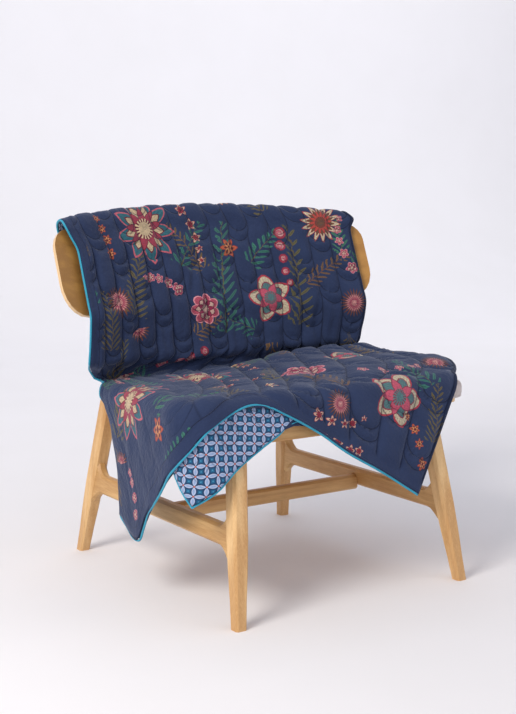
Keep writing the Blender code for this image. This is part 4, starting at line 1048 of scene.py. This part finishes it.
def piping_path():
    """The cord's middle line round the cloth's whole edge, and the way out from the cloth at each point."""
    share = np.concatenate([[0.0], RETURN_SHARE * np.array([0.45, 0.65, 0.85]),
                            np.linspace(RETURN_SHARE, 1, 2 * QUILT_COLUMNS + 1)])
    top = layer(TOP_STATIONS, share, TOP_OFF)
    quilt_share = share[-2 * QUILT_COLUMNS - 1:]
    kept = (quilt_share < UNDER_DENSE) | (np.arange(len(quilt_share)) % 2 == 0)
    under = layer(UNDER_STATIONS, np.concatenate([[0.0], quilt_share[kept]]), UNDER_OFF)
    arc = fold_arc(top, under, 0.0, np.radians([45, 90, 135]))
    row = np.arange(len(top))
    near = smoothstep(ROWS_TO_CREASE - 3, ROWS_TO_CREASE, row)
    near = near * smoothstep(ROWS_TO_CREASE + TOP_ROWS + 7, ROWS_TO_CREASE + TOP_ROWS + 3, row)
    wider = (1 + CREASE_SLACK * near)[:, None]
    path = []
    out = []

    def follow(edge, inside, slack=1.0):
        path.extend(edge)
        out.extend(unit(edge - inside) * slack)

    def turn_at(corner, *inside):
        path.append(corner)
        out.append(sum(unit(corner - point) for point in inside))

    follow(top[-1, 1:], top[-2, 1:])
    follow(arc[-1], arc[-2], ARC_SLACK)
    follow(under[-1, :0:-1], under[-2, :0:-1])
    turn_at(under[-1, 0], under[-2, 0], under[-1, 1])
    follow(under[-2:0:-1, 0], under[-2:0:-1, 1], wider[-2:0:-1])
    turn_at(under[0, 0], under[1, 0], under[0, 1])
    follow(under[0, 1:], under[1, 1:])
    follow(arc[0, ::-1], arc[1, ::-1], ARC_SLACK)
    follow(top[0, :0:-1], top[1, :0:-1])
    turn_at(top[0, 0], top[1, 0], top[0, 1])
    follow(top[1:-1, 0], top[1:-1, 1], wider[1:-1])
    turn_at(top[-1, 0], top[-2, 0], top[-1, 1])
    path = np.array(path)
    out = np.array(out)
    tangent = along_loop(path)
    square = unit(out - tangent * np.sum(out * tangent, -1, keepdims=True))
    path = path + square * np.linalg.norm(out, axis=-1, keepdims=True) * (PIPING + PIPING_GAP)
    before = unit(np.roll(path, 1, 0) - path)
    after = unit(np.roll(path, -1, 0) - path)
    sharp = np.flatnonzero(np.sum(before * after, -1) > -0.6)
    for i in sharp[::-1]:
        near = [path[i] + before[i] * CORNER_NEAR, path[i], path[i] + after[i] * CORNER_NEAR]
        path = np.concatenate([path[:i], near, path[i + 1:]])
        square = np.concatenate([square[:i], [square[i]] * 3, square[i + 1:]])
    return path, square


def build_piping():
    """A round cord of bias-cut cotton along the cloth's whole edge."""
    path, square = piping_path()
    steps = np.linalg.norm(np.roll(path, -1, 0) - path, axis=1)
    parts = np.maximum(2, (steps / CORD_STEP).astype(int))
    at = np.concatenate([i + np.arange(n) / n for i, n in enumerate(parts)])
    shifted = np.concatenate([path[-1:], path, path[:2]])[:, None]
    fine = smooth_rows(shifted, at + 1)[:, 0]
    facing = np.concatenate([square, square[:1]])
    i = at.astype(int)
    blend = (at - i)[:, None]
    facing = unit(facing[i] * (1 - blend) + facing[i + 1] * blend)
    tangent = along_loop(fine)
    first = unit(facing - tangent * np.sum(facing * tangent, -1, keepdims=True))
    second = np.cross(tangent, first)
    angle = (np.arange(CORD_SIDES) / CORD_SIDES * 2 * np.pi)[:, None]
    radius = PIPING * (1 + 0.03 * np.sin(np.arange(len(fine)) * 1.7))
    rings = fine[:, None] + radius[:, None, None] * (
        np.cos(angle) * first[:, None] + np.sin(angle) * second[:, None])
    points = rings.reshape(-1, 3)
    made = add_mesh("piping_cord", points, outwards(points, ring_quads(len(fine), CORD_SIDES, closed=True)))
    mesh = made.data
    length = np.concatenate([[0], np.cumsum(np.linalg.norm(np.diff(fine, axis=0), axis=1))])
    mesh.materials.append(cotton_piping())
    loops = corner_points(mesh)
    along = np.repeat(length, CORD_SIDES)[loops].reshape(-1, 4)
    along = np.where(along.max(1, keepdims=True) - along > 1, along + length[-1], along)
    round_it = (loops % CORD_SIDES / CORD_SIDES).reshape(-1, 4)
    round_it = np.where(round_it.max(1, keepdims=True) - round_it > 0.5, round_it + 1, round_it)
    set_map(mesh, "cord", np.stack([along.ravel(), round_it.ravel() * 2 * np.pi * PIPING], -1))
    return made


def seat_plan(inset):
    """The seat's plan, drawn in by an inset, anticlockwise from the rear left."""
    _, turn, _, side, half_run = seat_lengths()
    runs = list(np.linspace(0, side, 10)[:-1])
    runs += list(np.linspace(side, side + SEAT_CORNER * turn, 14))
    runs += list(np.linspace(side + SEAT_CORNER * turn, half_run, 8)[1:-1])
    runs += [2 * half_run - run for run in reversed(runs)]
    point, normal = seat_edge(np.array(runs))
    plan = point - normal * inset
    plan[0] = (-SEAT_HALF_REAR + inset, SEAT_REAR - inset)
    plan[-1] = (SEAT_HALF_REAR - inset, SEAT_REAR - inset)
    rear = np.linspace(plan[-1], plan[0], 12)[1:-1]
    return np.concatenate([plan, rear])


def build_seat_pad():
    """A thin padded seat: rounded upper edge, a sewn seam round its side, and a top that crowns a little."""
    rings = []
    for inset, rise in PAD_SIDE:
        plan = seat_plan(inset)
        rings.append(np.concatenate([plan, np.full((len(plan), 1), PAD_BOTTOM + rise)], 1))
    for angle in np.radians(np.linspace(8, 90, 9)):
        plan = seat_plan(PAD_EDGE * (1 - np.cos(angle)))
        z = pad_top(plan[:, 1:]) - PAD_EDGE * (1 - np.sin(angle))
        z = np.maximum(z, PAD_BOTTOM + PAD_SIDE_TOP)
        rings.append(np.concatenate([plan, z], 1))
    centre = rings[-1].mean(0)
    rim = rings[-1]
    for t in (0.06, 0.14, 0.26, 0.42, 0.62, 0.82):
        plan = rim + (centre - rim) * t
        plan[:, 2] = pad_top(plan[:, 1]) + PAD_CROWN * np.sin(np.pi / 2 * min(1.0, t * 2))
        plan[:, 2] += 0.0003 * np.sin(plan[:, 0] * 41) * np.sin(plan[:, 1] * 37)
        rings.append(plan)
    rings = np.array(rings)
    rows, count = rings.shape[:2]
    points = list(rings.reshape(-1, 3))
    faces = ring_quads(rows, count)
    points += [rings[0].mean(0), np.array([centre[0], centre[1], pad_top(centre[1]) + PAD_CROWN])]
    low, high = rows * count, rows * count + 1
    for j in range(count):
        k = (j + 1) % count
        faces.append((low, k, j))
        faces.append((high, (rows - 1) * count + j, (rows - 1) * count + k))
    points = np.array(points)
    made = add_mesh("seat_pad_upholstered", points, outwards(points, faces))
    made.data.materials.append(woven_upholstery())
    return made


# Finishes

def cloth_base(name):
    """A new finish for the cloth: its parts, the cloth's flat map, that map's two axes, and the threads' slubs."""
    made, add, shader = new_finish(name)
    flat = add("UVMap", uv_map="cloth")
    across, back, _ = add("SeparateXYZ", flat).node.outputs
    # Slubs 1.5 mm apart and 11 mm long
    slub = add("TexNoise", add("Mapping", flat, None, None, (90.0, 650.0, 1.0)), None, 1.0, 2.0, 0.6)
    return made, add, shader, flat, across, back, slub


def cotton_print():
    """Printed cotton lawn, quilted: matt, softly sheened, with a plain weave and a dark line at each stitch row, its
    thread and painted shade in the stitch's groove.
    """
    made, add, shader, flat, across, back, slub = cloth_base("printed quilting cotton, navy floral")
    shade = add("Math.MULTIPLY_ADD", slub, 0.5, 0.72)
    worn = add("MapRange", add("TexNoise", flat, None, 330.0, 2.0, 0.6), 0.30, 0.52, 0.45, 0.95)
    # Dye takes unevenly, in soft blotches some 60 mm across
    blotch = add("TexNoise", flat, None, 16.0, 3.0, 0.5)
    colour = add("Mix", blotch, *SKIP, linear("212d4c"), linear("2f3d5f"), **BLEND)

    # Sprays: across and along each one, whose length is 1
    at_x, at_y, _ = add("SeparateXYZ", add("UVMap", uv_map="spray")).node.outputs
    leafing = add("Attribute", attribute_name="leafing", out=1)
    spacing, leaf_reach, leaf_width = add("SeparateXYZ", leafing).node.outputs
    drawn = add("Math.MULTIPLY_ADD", add("TexNoise", flat, None, 60.0, 2.0, 0.5), 0.07, -0.035)
    x = add("Math.ABSOLUTE", add("Math.ADD", at_x, drawn))
    y = add("Math.ADD", at_y, drawn)
    on_length = add("Math.COMPARE", y, 0.5, 0.5)
    side = add("Math.MULTIPLY", add("Math.GREATER_THAN", at_x, 0.0), 0.5)
    slant = add("Math.MULTIPLY_ADD", x, -0.9, y)
    turn = add("Math.ADD", add("Math.DIVIDE", slant, spacing), side)
    from_axis = add("Math.ABSOLUTE", add("Math.SUBTRACT", add("Math.FRACT", turn), 0.5))
    gap = add("Math.MULTIPLY", from_axis, spacing)
    reach = add("Math.MULTIPLY", leaf_reach, add("Math.MULTIPLY_ADD", y, -0.62, 1.0))
    rel = add("Math.DIVIDE", x, reach)
    lens = add("Math.MAXIMUM", add("Math.MULTIPLY", rel, add("Math.SUBTRACT", 1.0, rel)), 0.0)
    wide = add("Math.MULTIPLY", add("Math.POWER", lens, 0.5), leaf_width)
    leaf_on = add("Math.MULTIPLY", add("Math.GREATER_THAN", wide, gap), on_length)
    vein = add("Math.LESS_THAN", gap, add("Math.MULTIPLY", wide, 0.28))
    leaf_ink, stem_ink = (add("Attribute", attribute_name=name) for name in SPRAY_INKS)
    leaf_tone = add("VectorMath.SCALE", leaf_ink, None, None, shade)
    leaf_dark = add("VectorMath.SCALE", leaf_ink, None, None, 0.62)
    leaf_colour = add("Mix", vein, *SKIP, leaf_tone, leaf_dark, **BLEND)
    stem_half = add("Math.MULTIPLY_ADD", y, -0.006, 0.009)
    stem_on = add("Math.MULTIPLY", add("Math.LESS_THAN", x, stem_half), on_length)

    # Blooms: their radius is 1, and their petals are rimmed and hatched
    place = add("UVMap", uv_map="bloom")
    at_x, at_y, _ = add("SeparateXYZ", place).node.outputs
    shape = add("Attribute", attribute_name="bloom_shape", out=1)
    petals, notch, span = add("SeparateXYZ", shape).node.outputs
    petal_ink, rim_ink, ring_ink, heart_ink = (add("Attribute", attribute_name=name) for name in BLOOM_INKS)
    wobble = add("TexNoise", place, None, 5.0, 2.0, 0.5)
    rad = add("VectorMath.LENGTH", place, out=1)
    rad = add("Math.ADD", add("Math.MULTIPLY_ADD", wobble, 0.10, -0.05), rad)
    turned = add("Math.ARCTAN2", at_x, at_y)
    turns = add("Math.MULTIPLY", turned, 1 / (2 * math.pi))
    count = add("Math.MULTIPLY", turns, petals)
    tip = add("Math.MULTIPLY", add("Math.PINGPONG", count, 0.5), 2.0)
    pointed = add("Math.POWER", tip, add("Math.MULTIPLY_ADD", notch, -2.6, 2.35))
    edge = add("Math.SUBTRACT", 1.0, add("Math.MULTIPLY", pointed, notch))
    depth = add("Math.SUBTRACT", edge, rad)
    on_span = add("Math.LESS_THAN", add("Math.ABSOLUTE", turns), add("Math.MULTIPLY", span, 0.502))
    bloom_on = add("Math.MULTIPLY", add("Math.GREATER_THAN", depth, 0.0), on_span)
    rim_on = add("Math.MAXIMUM", add("Math.LESS_THAN", depth, 0.075), add("Math.GREATER_THAN", tip, 0.90))
    hatch = add("Math.SINE", add("Math.MULTIPLY", turned, 46.0))
    hatch = add("Math.MULTIPLY", add("Math.MULTIPLY_ADD", hatch, 0.10, 0.86), shade)
    petal_tone = add("VectorMath.SCALE", petal_ink, None, None, hatch)
    bloom = add("Mix", rim_on, *SKIP, petal_tone, rim_ink, **BLEND)
    # Then the smaller ring of petals in it, the pointed ones between those, the dots and the heart
    ring_dark = add("VectorMath.SCALE", ring_ink, None, None, 0.42)
    ring_tone = add("VectorMath.SCALE", ring_ink, None, None, shade)
    middle_tone = add("VectorMath.SCALE", heart_ink, None, None, hatch)
    middle = add("Math.SUBTRACT", add("Math.MULTIPLY", edge, 0.70), rad)
    middle_ink = add("Mix", add("Math.LESS_THAN", middle, 0.05), *SKIP, middle_tone, ring_dark, **BLEND)
    between = add("Math.PINGPONG", add("Math.ADD", count, 0.5), 0.5)
    inner = add("Math.SUBTRACT", add("Math.MULTIPLY_ADD", between, -0.62, 0.64), rad)
    inner_ink = add("Mix", add("Math.LESS_THAN", inner, 0.045), *SKIP, ring_tone, ring_dark, **BLEND)
    dots = add("Math.GREATER_THAN", add("Math.COSINE", add("Math.MULTIPLY", turned, 17.0)), 0.0)
    dot_ink = add("Mix", dots, *SKIP, ring_dark, heart_ink, **BLEND)
    heart_tone = add("VectorMath.SCALE", heart_ink, None, None, add("Math.ADD", wobble, 0.35))
    for mask, ink in (
        (add("Math.GREATER_THAN", middle, 0.0), middle_ink), (add("Math.GREATER_THAN", inner, 0.0), inner_ink),
        (add("Math.LESS_THAN", rad, 0.29), dot_ink), (add("Math.LESS_THAN", rad, 0.20), heart_tone),
    ):
        bloom = add("Mix", mask, *SKIP, bloom, ink, **BLEND)
    for mask, ink in ((leaf_on, leaf_colour), (stem_on, stem_ink), (bloom_on, bloom)):
        colour = add("Mix", add("Math.MULTIPLY", mask, worn), *SKIP, colour, ink, **BLEND)

    # The hem is a plain band with its own row of stitches
    rim = add("Attribute", attribute_name="to_rim", out=2)
    colour = add("Mix", add("Math.LESS_THAN", rim, 1.0), *SKIP, colour, linear("293657"), **BLEND)
    hem_line = add("Math.COMPARE", rim, 1.0, 0.04)
    line = add("Math.MAXIMUM", stitch_lines(add, across, back), hem_line)
    # Stitch rows and the hem's row are darkened: their thread, and painted shade in the grooves they pull
    colour = add("Mix", add("Math.MULTIPLY", line, 0.62), *SKIP, colour, linear("131930"), **BLEND)
    cover_cloth(add, shader, colour, flat, slub, line)
    return made


def stitch_lines(add, across, back):
    """From 1 on the stitch lines of the quilting to 0 at 2.2 mm off them, and 0 where no quilting shows."""
    place = add("Math.MULTIPLY_ADD", across, 1 / COLUMN_WIDTH, -RETURN_SHARE * HALF_WIDTH / COLUMN_WIDTH)
    x = add("Math.MULTIPLY", add("Math.SUBTRACT", add("Math.FRACT", place), 0.5), COLUMN_WIDTH)
    odd = add("Math.FLOORED_MODULO", add("Math.FLOOR", place), 2.0)
    up = add("Math.MULTIPLY_ADD", back, 1 / SCALLOP, add("Math.MULTIPLY", odd, 0.5))
    up = add("Math.MULTIPLY", add("Math.FRACT", up), SCALLOP)
    half = COLUMN_WIDTH / 2
    bowl = add("Math.MULTIPLY", add("Math.MINIMUM", add("Math.SUBTRACT", up, BOWL), 0.0), half / BOWL)
    echo = add("Math.MULTIPLY", add("Math.SUBTRACT", up, SCALLOP), half / ECHO)
    near = add("Math.SUBTRACT", half, add("Math.ABSOLUTE", x))
    for arch in (bowl, echo):
        far = add("VectorMath.LENGTH", add("CombineXYZ", x, arch), out=1)
        near = add("Math.MINIMUM", near, add("Math.ABSOLUTE", add("Math.SUBTRACT", far, half)))
    fade = add("MapRange", near, 0.0, 0.0022, 1.0, 0.0)
    return add("Math.MULTIPLY", fade, add("Attribute", attribute_name="quilting", out=2))


def cover_cloth(add, shader, colour, flat, slub, line):
    """Gives the shader its colour, and the roughness, sheen, weave and puckers that both sides of the cloth share."""
    # Puckers some 9 mm apart beside the stitches, and the weave drawn at 1.2 mm, coarser than it is, so it shows
    height = add("Math.MULTIPLY", add("TexNoise", flat, None, 105.0, 3.0, 0.55), 0.0026)
    weave = add("TexNoise", flat, None, 800.0, 1.0, 0.5)
    for relief, depth in ((line, -0.0016), (weave, 0.0003), (slub, 0.0003)):
        height = add("Math.MULTIPLY_ADD", relief, depth, height)
    set_sockets(shader, {
        "Base Color": colour, "Roughness": 0.88, "Specular IOR Level": 0.25, "Sheen Weight": 0.22,
        "Sheen Roughness": 0.45, "Sheen Tint": (0.72, 0.78, 0.95, 1.0),
        "Normal": add("Bump", 0.8, 1.0, None, height),
    })


def cotton_tiles():
    """The same cotton, printed all over with overlapping rings 19 mm apart, laid on the bias."""
    made, add, shader, flat, across, back, slub = cloth_base("printed quilting cotton, ring tiles")
    laid = add("UVMap", uv_map="tiles")
    turned = add("Mapping", laid, None, (0, 0, math.radians(TILE_TURN)), (TILES_A_METRE,) * 3)
    axes = add("SeparateXYZ", turned).node.outputs
    gaps = [add("Math.ABSOLUTE", add("Math.SUBTRACT", add("Math.FRACT", axis), 0.5)) for axis in axes[:2]]
    lenses = []
    for a, b in (gaps, gaps[::-1]):
        # a: along the lens from its middle; b: 0.5 on its axis
        width = add("Math.MULTIPLY_ADD", add("Math.POWER", a, 2.0), -0.92, 0.225)
        lenses.append(add("Math.SUBTRACT", width, add("Math.SUBTRACT", 0.5, b)))
    lens = add("Math.MAXIMUM", *lenses)
    middle = add("Math.MAXIMUM", *gaps)
    star = add("Math.ADD", *gaps)
    corner = add("Math.SUBTRACT", add("Math.SUBTRACT", 1.0, gaps[0]), gaps[1])
    colour = linear("234669")
    for test, value, limit, ink in (
        ("Math.LESS_THAN", middle, 0.165, "20628a"), ("Math.LESS_THAN", star, 0.085, "4a8cb0"),
        ("Math.GREATER_THAN", lens, 0.0, "27355f"), ("Math.GREATER_THAN", lens, 0.035, "acbad8"),
        ("Math.GREATER_THAN", lens, 0.13, "8ea5cc"), ("Math.LESS_THAN", corner, 0.115, "b8614e"),
    ):
        colour = add("Mix", add(test, value, limit), *SKIP, colour, linear(ink), **BLEND)
    colour = add("VectorMath.SCALE", colour, None, None, add("Math.MULTIPLY_ADD", slub, 0.4, 0.78))
    line = stitch_lines(add, across, back)
    # Stitch rows are darkened here too: their thread, and painted shade in the grooves they pull
    colour = add("Mix", add("Math.MULTIPLY", line, 0.35), *SKIP, colour, linear("141c38"), **BLEND)
    cover_cloth(add, shader, colour, flat, slub, line)
    return made


def cotton_piping():
    """Bias-cut cotton over a cord: matt turquoise, with its threads on the slant 1.2 mm apart so that they show."""
    made, add, shader = new_finish("turquoise cotton piping")
    flat = add("UVMap", uv_map="cord")
    slant = add("Mapping", flat, None, (0, 0, math.radians(45)), (830.0, 830.0, 1.0))
    thread = add("TexNoise", slant, None, 1.0, 1.0, 0.5)
    blotch = add("TexNoise", flat, None, 60.0, 2.0, 0.5)
    tone = add("Math.MULTIPLY", add("Math.MULTIPLY_ADD", thread, 0.5, blotch), 0.6)
    set_sockets(shader, {
        "Base Color": add("Mix", tone, *SKIP, linear("167f9f"), linear("35b3d2"), **BLEND),
        "Roughness": 0.72, "Sheen Weight": 0.15, "Normal": add("Bump", 0.6, 0.0004, None, thread),
    })
    return made


def woven_upholstery():
    """Wool-blend upholstery, pinkish grey: a matt basket weave with threads 0.5 mm apart and flecks."""
    made, add, shader = new_finish("woven upholstery, pinkish grey")
    place = add("TexCoord", out=3)
    warp, weft, rise = (add("TexWave", place, 620.0, 0.4, 1.0, wave_type="BANDS", bands_direction=axis)
                        for axis in "XYZ")
    weave = add("Math.MAXIMUM", add("Math.MULTIPLY", warp, weft), rise)
    fleck = add("TexNoise", place, None, 700.0, 2.0, 0.6)
    blotch = add("TexNoise", place, None, 14.0, 2.0, 0.5)
    tone = add("Math.MULTIPLY_ADD", fleck, 0.6, add("Math.MULTIPLY", blotch, 0.4))
    set_sockets(shader, {
        "Base Color": add("Mix", tone, *SKIP, linear("d2bfba"), linear("f6ece8"), **BLEND),
        "Roughness": 0.92, "Sheen Weight": 0.3, "Normal": add("Bump", 0.7, 0.0006, None, weave),
    })
    return made


def wood_grain(add, figure_map, figure_scale, turns, pore_map, pore_scale):
    """The wavy bands of a wood's figure and its long pores, both from 0 to 1."""
    figure = add("TexNoise", figure_map, None, figure_scale, 3.0, 0.55)
    bands = add("Math.MULTIPLY_ADD", add("Math.SINE", add("Math.MULTIPLY", figure, turns)), 0.5, 0.5)
    return bands, add("TexNoise", pore_map, None, pore_scale, 2.0, 0.6)


def oak(name, axis, light, dark, seed):
    """Oiled solid oak: long grain along the part, pores about 1 by 28 mm, satin."""
    made, add, shader = new_finish(name)
    place = add("TexCoord", out=3)
    stretched = [tuple(slow if k == axis else 1.0 for k in range(3)) for slow in (0.055, 0.04)]
    figure_map = add("Mapping", place, (seed, 2.3 * seed, 0.7 * seed), None, stretched[0])
    pore_map = add("Mapping", place, (seed, seed, seed), None, stretched[1])
    bands, pores = wood_grain(add, figure_map, 22.0, 15.0, pore_map, 900.0)
    blotch = add("TexNoise", place, None, 7.0, 2.0, 0.5)
    tone = add("Math.MULTIPLY_ADD", bands, 0.46, add("Math.MULTIPLY", blotch, 0.25))
    tone = add("Math.SUBTRACT", add("Math.MULTIPLY_ADD", pores, 0.62, tone), 0.18)
    set_sockets(shader, {
        "Base Color": add("Mix", tone, *SKIP, linear(light), linear(dark), **BLEND),
        "Roughness": add("Math.MULTIPLY_ADD", pores, 0.22, 0.36), "Normal": add("Bump", 0.35, 0.0004, None, pores),
    })
    return made


def plywood(name, facing):
    """Bent oak-faced plywood: veneer on its faces, darker partly as painted shade, and on its edges the plies, 1.5 mm
    thick, light and dark.
    """
    made, add, shader = new_finish(name)
    place = add("TexCoord", out=3)
    figure_map, pore_map = (add("Mapping", place, None, None, (slow, 1.0, 1.0)) for slow in (0.07, 0.05))
    bands, pores = wood_grain(add, figure_map, 26.0, 17.0, pore_map, 850.0)
    tone = add("Math.MULTIPLY_ADD", bands, 0.35, add("Math.MULTIPLY", pores, 0.5))
    # The faces' veneer is darker than the plies on the edges: partly its own colour, partly painted shade on the
    # broad faces
    face = add("Mix", tone, *SKIP, linear("c8944c"), linear("946432"), **BLEND)
    # Depth through the sheet, which tells one ply from the next on its edge
    depth = add("VectorMath.DOT_PRODUCT", place, facing, out=1)
    ply = add("Math.SINE", add("Math.MULTIPLY", depth, 2 * math.pi / 0.003))
    ply = add("Math.MULTIPLY_ADD", ply, 0.5, 0.5)
    edge = add("Mix", ply, *SKIP, linear("f2d3a4"), linear("dcb27c"), **BLEND)
    across = add("VectorMath.DOT_PRODUCT", add("NewGeometry", out=3), facing, out=1)
    on_edge = add("Math.LESS_THAN", add("Math.ABSOLUTE", across), 0.6)
    set_sockets(shader, {
        "Base Color": add("Mix", on_edge, *SKIP, face, edge, **BLEND),
        "Roughness": add("Math.MULTIPLY_ADD", pores, 0.2, 0.36), "Normal": add("Bump", 0.3, 0.0003, None, pores),
    })
    return made


def dress(node, finish):
    """Gives a solid of the frame its finish."""
    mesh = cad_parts[node].data
    if not mesh.materials:
        mesh.materials.append(finish)
    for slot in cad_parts[node].material_slots:
        slot.material = finish


def dress_frame():
    for grain, axis, light, dark, step, start, nodes in OAK_PIECES:
        for number, node in enumerate(nodes):
            dress(node, oak("oiled oak, " + grain + " " + node, axis, light, dark, step * number + start))
    dress("backrest_panel", plywood("oak-faced bent plywood, backrest", (0.0, 0.932, -0.363)))
    dress("seat_board", plywood("oak-faced plywood, seat board", (0.0, 0.0, 1.0)))


# Stage, camera and light

def build_stage():
    """A pale floor that curves up into a pale wall behind."""
    flat_end, bend, wall_top, left, right, near = 3.2, 1.6, 9.0, -9.0, 11.0, -9.0
    profile = [(near, 0.0), (flat_end, 0.0)]
    for angle in np.radians(np.linspace(6, 90, 15)):
        profile.append((flat_end + bend * math.sin(angle), bend - bend * math.cos(angle)))
    profile.append((flat_end + bend, wall_top))
    points = [(x, y, z) for y, z in profile for x in (left, right)]
    faces = [(2 * i, 2 * i + 1, 2 * i + 3, 2 * i + 2) for i in range(len(profile) - 1)]
    floor = add_mesh("studio_floor", points, faces)
    made, add, shader = new_finish("matt studio paper")
    grain = add("TexNoise", add("TexCoord", out=3), None, 3.0, 2.0, 0.5)
    colour = add("Mix", grain, *SKIP, linear("f0eff2"), linear("f4f3f7"), **BLEND)
    set_sockets(shader, {"Base Color": colour, "Roughness": 0.9, "Specular IOR Level": 0.1})
    floor.data.materials.append(made)
    floor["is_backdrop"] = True


def add_light(name, place, aim, size, watts, code):
    """A round area light at a place, turned towards what it lights."""
    lamp = bpy.data.lights.new(name, "AREA")
    lamp.shape = "DISK"
    lamp.size = size
    lamp.energy = watts
    lamp.color = linear(code)[:3]
    made = bpy.data.objects.new(name, lamp)
    bpy.context.scene.collection.objects.link(made)
    made.location = place
    way = np.array(aim, float) - np.array(place, float)
    level = math.hypot(way[0], way[1])
    made.rotation_euler = (math.atan2(level, -way[2]), 0.0, math.atan2(way[1], way[0]) - math.pi / 2)


def light_and_camera():
    """A dim pale world, the area lights and the photo's camera."""
    world = bpy.data.worlds.new("studio")
    bpy.context.scene.world = world
    world.use_nodes = True
    set_sockets(world.node_tree.nodes["Background"], {"Color": linear("f2f2f8"), "Strength": 0.62})
    for light in LIGHTS:
        add_light(*light)
    lens = bpy.data.cameras.new("camera")
    lens.lens = LENS
    lens.sensor_width = 36.0
    lens.clip_end = 60.0
    camera = bpy.data.objects.new("camera", lens)
    bpy.context.scene.collection.objects.link(camera)
    camera.location = CAMERA_PLACE
    camera.rotation_euler = (math.radians(90 - CAMERA_DOWN), 0.0, math.radians(CAMERA_TURN))
    bpy.context.scene.camera = camera
    bpy.context.scene.view_settings.view_transform = "Standard"


light_and_camera()
build_stage()
dress_frame()
bedspread = build_bedspread()
piping = build_piping()
seat_pad = build_seat_pad()

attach(bedspread, "root")
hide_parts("bedspread")
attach(piping, "root")
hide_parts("piping")
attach(seat_pad, "root")
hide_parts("seat_pad")

visual_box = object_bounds()
repr([[list(map(float, corner)) for corner in box] for box in (cad_box, visual_box)])
